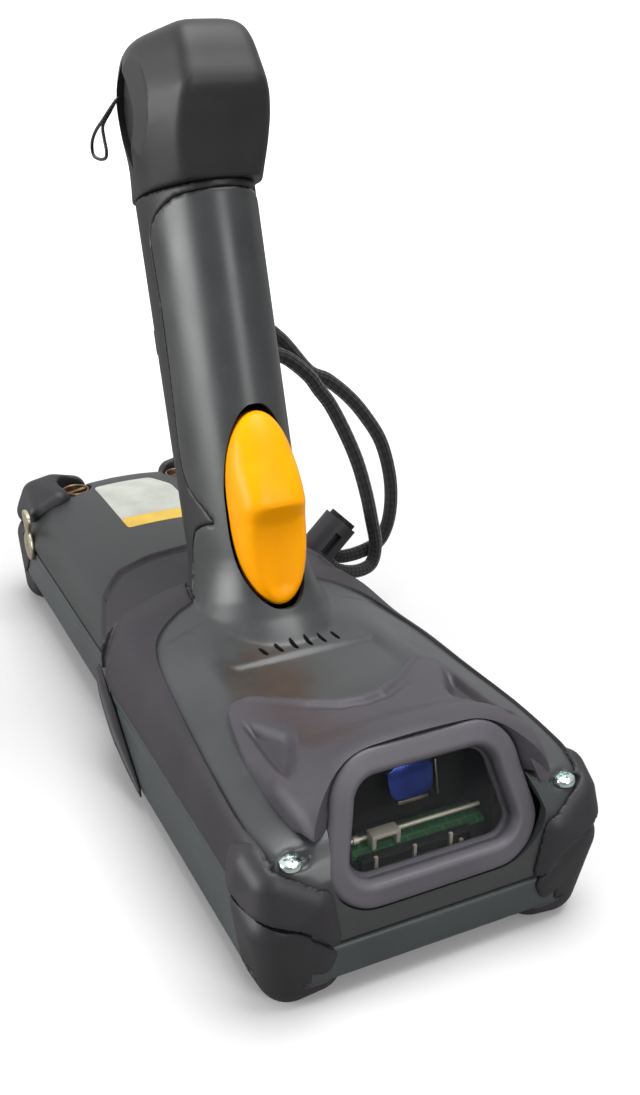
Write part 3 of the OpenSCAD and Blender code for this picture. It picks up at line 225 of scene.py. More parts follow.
# Inside: blackened casting, bare casting, tinned brass and gold flash, bright only at their edges.
engine_dark = moulded("blackened_zinc_casting", "#0d0c0c", "#1c1815", 0.6, 0.6, 0.01, shine=0.2)
engine_metal = metal("zinc_cast_engine", "#6d6759", "#8d8575", 0.42)
tinned_brass = moulded("tinned_brass", "#cfc7b2", "#ece6d6", 0.35, 0.3, 0.004, Metallic=0.4)
contact_gold = metal("gold_flashed_contact", "#b98f3a", "#d9b564", 0.3)
module_metal = metal("stamped_steel_frame", "#85888b", "#a9acaf", 0.4, stretch=(1, 0.15, 1))
print(len(bpy.data.materials), "materials so far")


# %% Glass, mirror, boards, label and cells
def board_material():
    """A circuit board: its weave and its tracks under a green mask."""
    material, tree, shader, place = new_material("fibreglass_board_green_mask", Roughness=0.35, Coat_Weight=0.4,
                                                 Coat_Roughness=0.15)
    weave = add(tree, "TexChecker", {"Scale": 1 / (0.9 * mm), "Color1": linear("#1b5230"),
                                     "Color2": linear("#21603a")}, {"Vector": place})
    tracks = add(tree, "TexBrick", {"Scale": 1 / (9 * mm), "Mortar Size": 0.03, "Color1": linear("#1d5834"),
                                    "Color2": linear("#1a4e2d"), "Mortar": linear("#4d8a4c")}, {"Vector": place})
    mixed = add(tree, "Mix", {0: 0.5}, {6: weave.outputs["Color"], 7: tracks.outputs["Color"]}, data_type="RGBA")
    wire(tree, shader, mixed.outputs[2], tracks.outputs["Fac"], 0.02)
    return material


def glossy_dark(name, base, worn, roughness, **surface):
    """A polished surface with faint wipe marks in its gloss."""
    material, tree, shader, place = new_material(name, **surface)
    smears = add(tree, "TexNoise", {"Scale": 1 / (12 * mm), "Detail": 4, "Distortion": 1.2}, {"Vector": place})
    colour = add(tree, "ValToRGB", None, {"Fac": smears.outputs["Fac"]}, [(0.3, base), (0.7, worn)])
    wiped = add(tree, "MapRange", {"From Min": 0.35, "From Max": 0.7, "To Min": roughness,
                                   "To Max": roughness + 0.08}, {"Value": smears.outputs["Fac"]})
    wire(tree, shader, colour.outputs["Color"], roughness=wiped.outputs["Result"])
    return material


# Polished faces mirror the room: tinted glass one looks through, a coated screen, a blue mirror.
window_glass = glossy_dark("tinted_float_glass", "#14181c", "#1b2024", 0.02, Alpha=0.16, Specular_IOR_Level=1.0)
touch_glass = glossy_dark("hard_coated_touch_glass", "#0d1013", "#14181c", 0.07, Coat_Weight=0.5)
mirror_blue = glossy_dark("blue_dichroic_mirror", "#1f3585", "#3350ad", 0.12, Metallic=0.6)
cell_sleeve = glossy_dark("shrink_sleeve_blue", "#33608f", "#3f6ea5", 0.32)
board_green = board_material()


def label_material():
    """Polyester label stock: white, with a yellow band at its front edge and nothing printed on it."""
    material, tree, shader, place = new_material("polyester_label_stock", Roughness=0.36, Coat_Weight=0.25,
                                                 Coat_Roughness=0.2)
    parts = add(tree, "SeparateXYZ", links={"Vector": place})
    band_end = 69.6 * mm
    band = add(tree, "Math", {1: band_end}, {0: parts.outputs["Y"]}, operation="LESS_THAN")
    stain = add(tree, "TexNoise", {"Scale": 1 / (7 * mm), "Detail": 4}, {"Vector": place})
    paper, ink = [add(tree, "ValToRGB", None, {"Fac": stain.outputs["Fac"]}, [(0.3, clean), (0.65, aged)])
                  for clean, aged in (("#9fa198", "#b0b3a9"), ("#c79f12", "#d9b31c"))]
    mixed = add(tree, "Mix", None, {0: band.outputs["Value"], 6: paper.outputs["Color"], 7: ink.outputs["Color"]},
                data_type="RGBA")
    wire(tree, shader, mixed.outputs[2], stain.outputs["Fac"], 0.01)
    return material


label_white = label_material()
print(len(bpy.data.materials), "materials")

# %% [markdown]
# ## Helpers for shapes
#
# A few small helpers keep the modelling cells short. The first leaves edit mode and deselects
# everything, because an operator acts on whatever is selected. The second applies a modifier. The
# third throws away what was only a cutting tool. The others soften an edge, finish a piece, and
# take a free copy of a node.

# %% Helpers for shapes
def fresh_start(piece=None):
    """Object mode, and only this piece selected and active."""
    if bpy.context.object and bpy.context.object.mode != "OBJECT":
        bpy.ops.object.mode_set(mode="OBJECT")
    bpy.ops.object.select_all(action="DESELECT")
    if piece:
        piece.select_set(True)
        bpy.context.view_layer.objects.active = piece
    return piece


def modify(piece, kind, **settings):
    """Adds a modifier and applies it at once."""
    fresh_start(piece)
    modifier = piece.modifiers.new(kind.lower(), kind)
    for name, value in settings.items():
        setattr(modifier, name, value)
    bpy.ops.object.modifier_apply(modifier=modifier.name)
    return piece


def carve(piece, tool, operation="DIFFERENCE"):
    """Cuts, joins or intersects with a second mesh, which is then thrown away."""
    modify(piece, "BOOLEAN", object=tool, operation=operation, solver="EXACT")
    bpy.data.objects.remove(tool, do_unlink=True)
    return piece


def ease(piece, width_mm, segments=2):
    """A small even bevel on every sharp edge."""
    return modify(piece, "BEVEL", width=width_mm * mm, segments=segments, limit_method="ANGLE")


def finish_piece(piece, material, stands_for=(), body="terminal", angle=40):
    """Names the material and the body of a finished piece, and smooths its shading up to that angle."""
    fresh_start(piece)
    piece.data.materials.clear()
    piece.data.materials.append(material)
    if angle:
        bpy.ops.object.shade_smooth_by_angle(angle=math.radians(angle))
    else:
        bpy.ops.object.shade_smooth()
    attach(piece, body)
    if stands_for:
        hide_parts(*stands_for)
    print(piece.name, len(piece.data.polygons), "faces")
    return piece


def soften(piece, voxel_mm, rounds):
    """Rounds every edge as a mould does: an even skin of small quads, then a few rounds of smoothing."""
    modify(piece, "REMESH", mode="VOXEL", voxel_size=voxel_mm * mm)
    return modify(piece, "SMOOTH", factor=0.5, iterations=rounds)


def recast(node, name):
    """A free copy of a node of the engineering model, with its loose triangles merged."""
    mesh = nodes[node].data.copy()
    mesh.name = name
    piece = bpy.data.objects.new(name, mesh)
    bpy.context.scene.collection.objects.link(piece)
    fresh_start(piece)
    bpy.ops.object.mode_set(mode="EDIT")
    bpy.ops.mesh.select_all(action="SELECT")
    bpy.ops.mesh.remove_doubles(threshold=1e-6)
    bpy.ops.object.mode_set(mode="OBJECT")
    return piece


print("shape helpers ready")

# %% [markdown]
# ## The wrist cord and the battery's tether
#
# The wrist cord is a woven polyester cord 4.5 mm thick. It runs from its lock up behind the grip,
# through the staple on the grip's back and down again, so both ends are in the lock. A curve with
# a round bevel could draw it, but the weave has to follow the cord, and that needs a map from the
# surface to the picture plane. So it starts as a flat grid whose rows become the cord's rings: a
# grid already has such a map. Cords come early, since nothing else may be in their way.

# %% Routes of the cords
def spline(points, steps):
    """A smooth line through given points, with this many steps between two of them."""
    line = []
    for i in range(len(points) - 1):
        a, b = points[max(i - 1, 0)], points[i]
        c, d = points[i + 1], points[min(i + 2, len(points) - 1)]
        for k in range(steps):
            t = k / steps
            line.append([0.5 * (2 * q + (r - p) * t + (2 * p - 5 * q + 4 * r - s) * t * t
                                + (3 * q - p - 3 * r + s) * t ** 3) for p, q, r, s in zip(a, b, c, d)])
    return line + [list(points[-1])]


cord_width, tether_width = 4.5, 0.9
cord_route = [
    (45.5, 37.5, 28), (48.5, 37.5, 23.5), (53.5, 37.5, 21), (59.5, 38.5, 20), (64, 39.5, 21.5),
    (65.5, 40, 28), (64, 40, 36), (61.5, 40, 47), (58, 40, 58.5), (53.5, 40, 69), (48, 40, 79.5), (44, 40, 85),
    (39.5, 40, 91), (30.5, 39.5, 98), (20, 37.5, 99.5), (9, 36, 98.5), (2.5, 37, 101), (0, 39, 107),
    (2.5, 41, 113), (9, 42, 115.5), (21, 42.5, 110.5), (32, 43, 102), (42.5, 45, 90), (49.5, 45.5, 86),
    (57.5, 45.5, 79), (64, 45.5, 71), (69.5, 45.5, 62), (73, 45.5, 50.5), (74, 45.5, 40.5), (73, 45.5, 32),
    (70, 45.5, 26), (64.5, 44, 24.5), (57.5, 43, 24), (52, 42.5, 25), (47.5, 42.5, 29.5)]
tether_route = [
    (1, -0.6, 0), (-1.5, -2, -1), (-4, -2.5, -3.5), (-5.5, -0.5, -5.5), (-6, 6.5, -7), (-6, 11.5, -9),
    (-6, 12, -12), (-6, 7.5, -14), (-6, 1.5, -15), (-6, -0.5, -13.5), (-5.5, 1.5, -10), (-5, 2.5, -6.5),
    (-3, 1.5, -3.5), (-1, 0.8, -0.8), (1, 0.6, 0)]
tilt = math.radians(18.5)


def on_grip(x, back, along):
    """A point of the grip's own frame: across, backwards, and along the grip from the table plane."""
    return (x, -23.2 + math.cos(tilt) * back + math.sin(tilt) * along,
            -math.sin(tilt) * back + math.cos(tilt) * along)


def grip_front(x, along, back):
    return on_grip(x, back, along)


def grip_side(back, along, x):
    return on_grip(x, back, along)


print("wrist cord points", len(cord_route))

# %% A tube along a route
def loft(name, rings, caps=True):
    """A skin over closed rings of points in millimetres, made from a grid that keeps its map."""
    fresh_start()
    across = len(rings[0])
    bpy.ops.mesh.primitive_grid_add(x_subdivisions=across, y_subdivisions=len(rings) - 1, size=1)
    piece = bpy.context.object
    piece.name = piece.data.name = name
    points = [Vector(ring[i % across]) * mm for ring in rings for i in range(across + 1)]
    assert len(points) == len(piece.data.vertices)
    piece.data.vertices.foreach_set("co", [value for point in points for value in point])
    bpy.ops.object.mode_set(mode="EDIT")
    bpy.ops.mesh.select_all(action="SELECT")
    bpy.ops.mesh.remove_doubles(threshold=1e-6)
    if caps:
        bpy.ops.mesh.fill_holes(sides=0)
    bpy.ops.mesh.normals_make_consistent(inside=False)
    bpy.ops.object.mode_set(mode="OBJECT")
    return piece


def tube_rings(line, radius, sides):
    """Rings square to a line, each turned as little as possible from the one before."""
    line = [Vector(p) for p in line]
    side, rings = Vector((0.1, 0.2, 1)), []
    for i, point in enumerate(line):
        heading = (line[min(i + 1, len(line) - 1)] - line[max(i - 1, 0)]).normalized()
        side = (side - side.dot(heading) * heading).normalized()
        other = heading.cross(side)
        rings.append([point + radius * (math.cos(a) * side + math.sin(a) * other)
                      for a in [2 * math.pi * k / sides for k in range(sides)]])
    return rings


def length_of(line):
    """The length of a line of points."""
    return sum((Vector(b) - Vector(a)).length for a, b in zip(line, line[1:]))


# %% [markdown]
# ### The weave of the cord
#
# A braided cord is two families of yarns that run round it in opposite directions and pass over
# and under each other. On the map, one direction goes round the cord and the other along it, so a
# chequer of slanted ribs is the braid. Each plait is about 1.2 mm long here, a little coarser
# than the real 0.8 mm, so that it shows. The braid's colour is lighter on the crests of the ribs
# and darker in the valleys between them: a painted highlight and painted shade.

# %% Woven cord material
def woven_cord(name, around, along, base, light):
    """A braid with so many ribs round the cord and along it; its crests are painted lighter as a painted highlight,
    its valleys darker as painted shade.
    """
    material, tree, shader, place = new_material(name, Roughness=0.75, Sheen_Weight=0.25, Sheen_Roughness=0.5,
                                                 Specular_IOR_Level=0.25)
    parts = add(tree, "SeparateXYZ", links={"Vector": add(tree, "UVMap").outputs["UV"]})
    turns = [add(tree, "Math", {1: count * math.pi}, {0: parts.outputs[axis]}, operation="MULTIPLY").outputs[0]
             for count, axis in ((around, "X"), (along, "Y"))]
    waves = []
    for slant in ("ADD", "SUBTRACT"):
        yarn = add(tree, "Math", None, {0: turns[0], 1: turns[1]}, operation=slant)
        waves.append(add(tree, "Math", None, {0: yarn.outputs[0]}, operation="SINE").outputs[0])
    braid = add(tree, "Math", None, {0: waves[0], 1: waves[1]}, operation="MULTIPLY")
    lifted = add(tree, "MapRange", {"From Min": -1, "From Max": 1}, {"Value": braid.outputs[0]})
    # The colour follows the braid's height: painted highlight on the crests, painted shade in the valleys.
    colour = add(tree, "ValToRGB", None, {"Fac": lifted.outputs[0]}, [(0.15, base), (0.8, light)])
    fuzz = add(tree, "TexNoise", {"Scale": 1 / (0.25 * mm), "Detail": 2}, {"Vector": place})
    height = add(tree, "Math", {1: 0.25}, {0: fuzz.outputs["Fac"], 2: lifted.outputs[0]},
                 operation="MULTIPLY_ADD")
    wire(tree, shader, colour.outputs["Color"], height.outputs[0], 0.25)
    return material


# %% Wrist cord and tether
cord_line = spline(cord_route, 6)
cord = loft("wrist_cord", tube_rings(cord_line, cord_width / 2, 20))
cord_length = length_of(cord_line)
# The second colour is the painted highlight on the crests of the braid.
cord_black = woven_cord("braided_polyester_cord", 12, cord_length / 2.4, "#0b0b0c", "#1f1f22")
finish_piece(cord, cord_black, ["lanyard_cord"], angle=None)

tether_at = (-16, 1.5, 184)
tether_line = [on_grip(*(a + b for a, b in zip(tether_at, p))) for p in spline(tether_route, 6)]
tether = loft("battery_tether", tube_rings(tether_line, tether_width / 2, 10))
tether_length = length_of(tether_line)
# Here too the second colour is the painted highlight on the crests of the braid.
tether_black = woven_cord("twisted_nylon_tether", 4, tether_length / 1.0, "#0c0c0d", "#232325")
finish_piece(tether, tether_black, ["tether_loop"], body="battery", angle=None)
print("cord", round(cord_length), "mm, tether", round(tether_length), "mm")

# %% [markdown]
# ## The head's back, drawn as stations
#
# A boat builder draws a hull as stations: cross-sections at a few places along it. The moulded
# back of the terminal is drawn the same way. Each station gives the half width of the flank, the
# half width and height of the soft crease, and the height of the middle. A monotone cubic fills
# in between, because it never swings past the drawn values. In each section the corners are cut
# a quarter of the way in, twice, which turns a few straight lines into one even curve.

# %% Stations and sections
nose_y, end_y, split_y, seam_z, front_seam_z = -113.5, 112.5, 4.0, 25.0, 15.5
front_half, rear_half, corner_r = 42, 38.5, 12
wall, snug, ring_step = 2.2, 0.05, 2.5
front_stations = [
    (nose_y, 31, 29, 33, 34), (nose_y + 2.5, 37.5, 35.5, 36.5, 38), (nose_y + 7, 40.7, 38.5, 39.5, 42),
    (nose_y + 14, 42, 40, 40.5, 43), (nose_y + 33, 42, 39.5, 41.5, 44.5), (nose_y + 53, 42, 38, 41.5, 46),
    (-41, 42, 36.5, 41.7, 47), (-25, 42, 34, 41.7, 49), (-6, 42, 32.5, 42.5, 49.5), (split_y, 39.2, 31.5, 42, 48)]
rear_stations = [
    (split_y, 39.2, 29.5, 40, 42), (6, 38.5, 28.5, 38.5, 41.3), (30, 38.5, 27.5, 38, 40.6),
    (82.5, 38.5, 27, 37.8, 40.5), (101, 38.5, 26.8, 37.4, 40.2), (108, 37, 25.8, 36.2, 39.3),
    (111.3, 33.8, 24.4, 33.8, 37), (end_y, 29.5, 23, 31, 33.6)]


def mix(a, b, share):
    return a + (b - a) * share


def fair(rows, step):
    """Rows about a step apart on a monotone cubic through the given rows."""
    places = [row[0] for row in rows]
    columns = []
    for column in zip(*rows):
        rises = [(b - a) / (q - p) for a, b, p, q in zip(column, column[1:], places, places[1:])]
        slopes = [0 if a * b <= 0 else 2 * a * b / (a + b) for a, b in zip(rises, rises[1:])]
        columns.append((column, [rises[0]] + slopes + [rises[-1]]))
    result = []
    for i, (p, q) in enumerate(zip(places, places[1:])):
        count = max(1, round((q - p) / step))
        for k in range(count + (i == len(places) - 2)):
            t, h = k / count, q - p
            result.append([(1 + 2 * t) * (1 - t) ** 2 * c[i] + t * (1 - t) ** 2 * h * m[i]
                           + t * t * (3 - 2 * t) * c[i + 1] - t * t * (1 - t) * h * m[i + 1]
                           for c, m in columns])
    return result


def cut_corners(points, rounds, closed=False):
    """Each round replaces a corner by two points a quarter of the way along its sides."""
    for _ in range(rounds):
        sides = list(zip(points, points[1:] + points[:1])) if closed else list(zip(points, points[1:]))
        cut = [[mix(p, q, share) for p, q in zip(a, b)] for a, b in sides for share in (0.25, 0.75)]
        points = cut if closed else [points[0]] + cut + [points[-1]]
    return points


def round_corners(points, reaches, steps):
    """A closed outline whose corners become short curves; each reach says how far a curve starts away."""
    result, count = [], len(points)
    for i, corner in enumerate(points):
        reach = reaches[min(i, count - 1 - i)] if len(reaches) > 1 else reaches[0]
        ends = []
        for other in (points[i - 1], points[(i + 1) % count]):
            length = math.dist(corner, other)
            share = min(reach, 0.48 * length) / length
            ends.append([mix(p, q, share) for p, q in zip(corner, other)])
        for k in range(steps + 1):
            t = k / steps
            result.append([(1 - t) ** 2 * p + 2 * t * (1 - t) * q + t * t * r
                           for p, q, r in zip(ends[0], corner, ends[1])])
    return result


def head_section(row, grow, foot_z, flank_z=28.0):
    """A closed ring: over the back from one flank to the other, and straight across underneath."""
    y, side, crease, top, middle = row[0], row[1] + grow, row[2] + grow, row[3] + grow, row[4] + grow
    half = [(side, foot_z), (side, flank_z), (mix(side, crease, 0.3), mix(flank_z, top, 0.55)),
            (mix(side, crease, 0.68), mix(flank_z, top, 0.85)), (crease - 1.5, top),
            (crease * 0.55, mix(top, middle, 0.75)), (0, middle)]
    over = cut_corners(half + [(-x, z) for x, z in reversed(half[:-1])], 2)
    return [(x, y, z) for x, z in over]


def head_solid(name, stations, grow, foot_z):
    return loft(name, [head_section(row, grow, foot_z) for row in fair(stations, ring_step)])


def between(piece, stations, outer, inner):
    """Keeps what lies between two offsets of the drawn body."""
    carve(piece, head_solid("outer_limit", stations, outer, -3), "INTERSECT")
    return carve(piece, head_solid("inner_limit", stations, inner, -4))


def box(name, low, high):
    """A plain block between two corners, as a cutting tool."""
    fresh_start()
    bpy.ops.mesh.primitive_cube_add(size=1)
    tool = bpy.context.object
    tool.name = name
    for vertex in tool.data.vertices:
        vertex.co = Vector([(b if c > 0 else a) * mm for a, b, c in zip(low, high, vertex.co)])
    return tool


def upright(x, y, z):
    return (x, y, z)


def level_x(y, z, x):
    return (x, y, z)


def level_y(x, z, y):
    return (x, y, z)


def rod(name, centre, radius, low, high, place=upright):
    """A round bar along the third axis of a frame."""
    return prism(name, arc(centre, radius, 0, 360 - 360 / 48, 47), low, high, place)


def rod_pair(piece, name, centre, radius, low, high, place=upright):
    """Bores a piece on both sides of its middle."""
    for side in (-1, 1):
        carve(piece, rod(name, (side * centre[0], centre[1]), radius, low, high, place))


def prism(name, outline, low, high, place=upright):
    """A solid over a flat outline, in any of the part's frames."""
    return loft(name, [[place(x, y, z) for x, y in outline] for z in (low, high)])


def arc(centre, radius, start, end, count):
    return [(centre[0] + radius * math.cos(math.radians(mix(start, end, i / count))),
             centre[1] + radius * math.sin(math.radians(mix(start, end, i / count)))) for i in range(count + 1)]


def both_sides(half):
    """An outline from its right half, which runs from the middle to the middle."""
    return list(half) + [(-x, y) for x, y in reversed(half) if abs(x) > 1e-6]


print(len(fair(front_stations, ring_step)), "front rings,", len(fair(rear_stations, ring_step)), "rear rings")

# %% [markdown]
# ## Frames of the window, and outlines that several pieces share
#
# The window leans back by 19 degrees. As with the grip, a small function turns its own
# coordinates, across, up the glass and out of it, into the terminal's. The trigger's outline and
# the collar's edge are needed twice each, for the piece and for the opening that it sits in.

# %% Shared outlines
lean = math.radians(90 - 19)


def at_window(x, rise, out):
    """A point of the window's frame."""
    return (x, -106.5 + math.cos(lean) * rise - math.sin(lean) * out,
            38 + math.sin(lean) * rise + math.cos(lean) * out)


def window_outline(grow, radius=5.5):
    """The window's rounded outline, narrower at the top."""
    half, high, r = 20.5 + grow, 11.25 + grow, radius + max(grow, -2)
    lower = arc((half - r, r - high), r, -90, 0, 8)
    upper = arc((half - 3 - r, high - r), r, 0, 90, 8)
    return both_sides([(0, -high)] + lower + upper + [(0, high)])


def saddle_plan(grow):
    """Right half of the line where the saddle meets the collar."""
    e = 41 + grow
    return [(38.6 + grow, -133.5)] + cut_corners(
        [(38.6 + grow, -112), (39 + grow, -106), (e, -92.9), (36.5 + grow, -41), (33.5 + grow, -20),
         (28 + grow, -12.5 + grow), (18 + grow, -8.5 + grow), (0, -7 + grow)], 2)


def collar_plan(grow):
    """Right half of the collar's outer edge, with its ridge over the rear cover."""
    return [(0, -107 - grow), (100, -107 - grow), (100, -2 + grow), (43, -2 + grow), (39.2, 10 + grow),
            (35, 22 + grow), (27.5, 31.5 + grow), (16.5, 34.8 + grow), (0, 36 + grow)]


def collar_zone(name, grow):
    """Everything in plan that belongs to the rubber collar: round the saddle and back to its ridge."""
    zone = prism(name, both_sides(collar_plan(grow)), -1, 100)
    inner = both_sides([(0, -133.5)] + saddle_plan(-grow))
    return carve(zone, prism("zone_inner", inner, -2, 120))


trigger_start, trigger_length, trigger_half = 47.6, 51.6, 9.7
print("window outline has", len(window_outline(0)), "points")

# %% [markdown]
# ## The grip
#
# The grip is an oval column that flares into the head. Its front is a satin skin, which is one
# moulding with the head's back; behind it sits a separate, darker shell. Both come from the same
# column, and a slab with the seam's outline decides which part is whose. The seam is drawn in
# side view: an arched top, a long soft S and a pointed tab above the flare.

# %% Grip column and seam
grip_rx, grip_ry, grip_top = 15.4, 22.5, 158.0
flare = [(28, 15.5), (30, 14), (40, 8), (45, 4.4), (50, 2), (55, 0.7), (61, 0), (grip_top, 0)]
seam_line = [
    (-100, 0), (-100, 156.5), (-18, 156.5), (-11, 154), (-6, 151.5), (-3, 147.5), (-2.8, 142.5), (-3.7, 128.5),
    (-2, 104), (-0.5, 90), (-1, 84), (-4.5, 79.5), (-9.5, 75.5), (-13, 71), (-13, 71), (-7, 70.3), (-3, 68.5),
    (0, 64), (1.5, 60), (1.5, 40), (1.5, 0)]


def grip_solid(name, grow, top=grip_top):
    """The oval column with its flare, grown evenly."""
    turns = [2 * math.pi * k / 72 for k in range(72)]
    rings = []
    for along, wider in fair([row for row in flare if row[0] < top] + [(top, 0)], 4):
        rx, ry = grip_rx + wider + grow, grip_ry + wider + grow
        rings.append([on_grip(rx * math.cos(a), ry * math.sin(a), along) for a in turns])
    return loft(name, rings)


def skin_slab(name, shift):
    """The part of the grip that belongs to the front skin, by the seam's line in side view."""
    outline = [(back - shift if back > -90 else back, along) for back, along in cut_corners(seam_line, 2, True)]
    return prism(name, outline, -60, 60, grip_side)


print("seam points", len(seam_line))

# %% [markdown]
# ## The trigger's outline
#
# Seen from the front the trigger is a long oval, blunt at its ends.

# %% Trigger outline
def trigger_width(u):
    """Half width at a place along the trigger, from -1 at its lower end to 1 at its upper end."""
    return trigger_half * (0.97 - 0.05 * u) * max((1 - abs(u) ** (2.1 if u > 0 else 2.6)) ** 0.5, 0.05)


def trigger_opening():
    """A cutter that leaves room for the trigger, also when it is pulled."""
    return prism("trigger_opening", trigger_oval(0.75, 1.05), -60, -9.5, grip_front)


def trigger_oval(grow, extra_top=0.0):
    """The trigger's outline, grown all round and a little more at the top."""
    marks = [math.sin(math.radians(mix(-90, 90, i / 28))) for i in range(29)]
    half = [(trigger_width(u) + grow if abs(u) < 1 else 0,
             trigger_start + (u + 1) * trigger_length / 2 + math.copysign(grow, u) + (extra_top if u > 0 else 0))
            for u in marks]
    return both_sides(half)


print("trigger oval", len(trigger_oval(0)), "points")

# %% [markdown]
# ## The back shell
#
# This is the largest moulding: the saddle behind the window and the front skin of the grip in one
# piece. It could be box modelled with subdivision, but the blends between nose, saddle and grip
# are easier to trust when the plain bodies are joined first and the joint is rounded afterwards.
# So the bodies are united, the seats of the other pieces are cut, an even skin of small quads is
# laid over everything and smoothed, and the hollow inside is cut last, because nobody sees it
# rounded.

# %% Back shell: outer body
shell = head_solid("back_shell", front_stations, 0, seam_z)


def nose_plan(inset, back_y):
    """The front end in plan, with its round corners."""
    corner = arc((front_half - corner_r, nose_y + corner_r), corner_r - inset, -90, 0, 12)
    return both_sides([(0, nose_y + inset)] + corner + [(front_half - inset, back_y), (0, back_y)])


carve(shell, prism("nose_block", nose_plan(0, -98), front_seam_z, seam_z + 1), "UNION")
skin = carve(grip_solid("grip_skin", 0), skin_slab("skin_slab", 0), "INTERSECT")
carve(skin, box("above_seam", (-99, -99, 26), (99, 99, 250)), "INTERSECT")
carve(shell, skin, "UNION")
print("back shell body", len(shell.data.polygons), "faces")

# %% [markdown]
# Each front screw sits in a three-cornered pocket, so a screwdriver finds it from the front and
# from the side. The pockets are cut before the skin is laid, so their edges come out soft.

# %% Back shell: screw pockets and soft edges
screw_x, screw_y, screw_z = 34.5, nose_y + 4.6, 35.5
pocket, diagonal = [(-3.4, -3.4), (4.6, -3.6), (-3.6, 4.6)], math.sqrt(0.5)
for side in (-1, 1):
    outline = [(side * screw_x + (x - y) * diagonal, screw_y + (x + y) * diagonal) for x, y in pocket]
    carve(shell, prism("screw_pocket", outline, screw_z + 0.9, 60))
    carve(shell, rod("screw_hole", (side * screw_x, screw_y), 1.6, 20, 60))
soften(shell, 0.65, 7)
print("back shell skin", len(shell.data.polygons), "faces")

# %% [markdown]
# Below the grip the saddle sinks a little before it meets the flare, which is what catches the
# light under the trigger. A push of a millimetre on the vertices of a soft ring does that.

# %% Back shell: the hollow round the grip's root
def nudge(piece, move):
    """Moves each vertex by what move(x, y, z) returns, in millimetres, or leaves it."""
    for vertex in piece.data.vertices:
        shift = move(*(c / mm for c in vertex.co))
        if shift:
            vertex.co += Vector(shift) * mm
    piece.data.update()


def bump(value, centre, width):
    """A smooth hill of height 1."""
    share = abs(value - centre) / width
    return 0 if share >= 1 else (1 - share * share) ** 2


def ease_in(share):
    """0 to 1 with a flat start and a flat end."""
    share = min(max(share, 0), 1)
    return share * share * (3 - 2 * share)


def off_line(line, x, y, slack=0):
    """Distance in plan from a drawn line and its mirror image, which counts only beside the line."""
    return min(abs((bx - ax) * (y - ay) - (by - ay) * (abs(x) - ax)) / math.dist((ax, ay), (bx, by))
               + 9 * max(0, abs(abs(x) - (ax + bx) / 2) - abs(ax - bx) / 2 - slack)
               for (ax, ay), (bx, by) in zip(line, line[1:]))


def root_hollow(x, y, z):
    if z < 40 or y > -20 or z > 60:
        return None
    reach = math.hypot(x / 30, (y + 8) / 42)
    return (0, 0, -1.1 * bump(reach, 1.0, 0.36) * bump(x, 0, 40))


def saddle_panel(x, y, z):
    """A shallow field between the vents and the hood, with a soft border and a ledge under the vents."""
    if z < 38 or y < -100 or abs(x) > 40:
        return None
    spread = 0.12 * (-47 - y)
    edges = [(y + 84) / 3.0, (-42.6 + 0.004 * x * x - y) / 2.6, (22.5 + spread - abs(x)) / 4]
    shoulder = 0.8 * bump(abs(x) - 25 - spread, 0, 6) * bump(y, -50, 22)
    return (0, 0, shoulder - 0.7 * ease_in(min(edges)))


nudge(shell, root_hollow)
nudge(shell, saddle_panel)
print("hollow done")

# %% Back shell: the collar's seat, inside, trigger opening and vents
carve(shell, between(collar_zone("collar_seat", snug), front_stations, 1.2, -1.2))
carve(shell, prism("window_hole", window_outline(4.6), -30, 30, at_window))
carve(shell, prism("bezel_seat", window_outline(6.55), -3.55, 30, at_window))
print("seats cut", len(shell.data.polygons), "faces")
carve(shell, trigger_opening())
inside = head_solid("inside", [row for row in front_stations if row[0] > nose_y + 1], -wall, -3)
carve(inside, box("behind_wall", (-99, nose_y + wall, -20), (99, 99, 99)), "INTERSECT")
carve(inside, prism("nose_inside", nose_plan(wall, -93.6), -3, 28), "UNION")
rod_pair(inside, "screw_boss", (screw_x, screw_y), 3.2, -20, 60)
carve(shell, inside)
print("back shell hollowed", len(shell.data.polygons), "faces")
carve(shell, grip_solid("grip_inside", -1.9, grip_top + 1))
for i in range(6):
    slot_x, turn = (i - 2.5) * 4.1, math.radians(18)
    slot_y = -40.6 + 0.008 * slot_x ** 2
    outline = [(slot_x + math.cos(turn) * x - math.sin(turn) * y, slot_y + math.sin(turn) * x + math.cos(turn) * y)
               for x, y in cut_corners([(-0.6, -1.8), (0.6, -1.8), (0.6, 1.8), (-0.6, 1.8)], 1, True)]
    carve(shell, prism("vent", outline, 40, 60))
finish_piece(shell, housing_grey, ["back_housing"])

# %% [markdown]
# ## The grip's rear shell
#
# The darker half shell is the rest of the column, set back by a fifth of a millimetre, so the
# seam shows as a fine step.

# %% Rear shell of the grip
rear_shell = grip_solid("grip_rear", -0.2)
carve(rear_shell, skin_slab("skin_slab", -0.25))
carve(rear_shell, box("above_cover", (-99, -99, 33.5), (99, 99, 250)), "INTERSECT")
carve(rear_shell, head_solid("saddle_below", front_stations, 0.05, -3))
soften(rear_shell, 0.6, 4)
carve(rear_shell, trigger_opening())
carve(rear_shell, grip_solid("grip_inside", -1.9, grip_top + 1))
finish_piece(rear_shell, rear_shell_black, ["grip_rear_shell"])

# %% [markdown]
# ## The rear cover
#
# The rear cover closes the keypad end. Its front rim slips under the rubber collar, the label
# lies in a shallow bed, and the two slotted fasteners stand in round wells near the end.

# %% Rear cover
coin_x, coin_y, coin_z, coin_r, coin_hole_r = 19.0, end_y - 8, 34.5, 4.8, 2.15


def label_outline(grow):
    left, right, low, high = -13.5 - grow, 11.7 + grow, 62 - grow, 100.5 + grow
    corners = [(left, low), (right, low), (right, 92 + grow), (right - 5, high), (left, high)]
    return round_corners(corners, [1.6], 3)


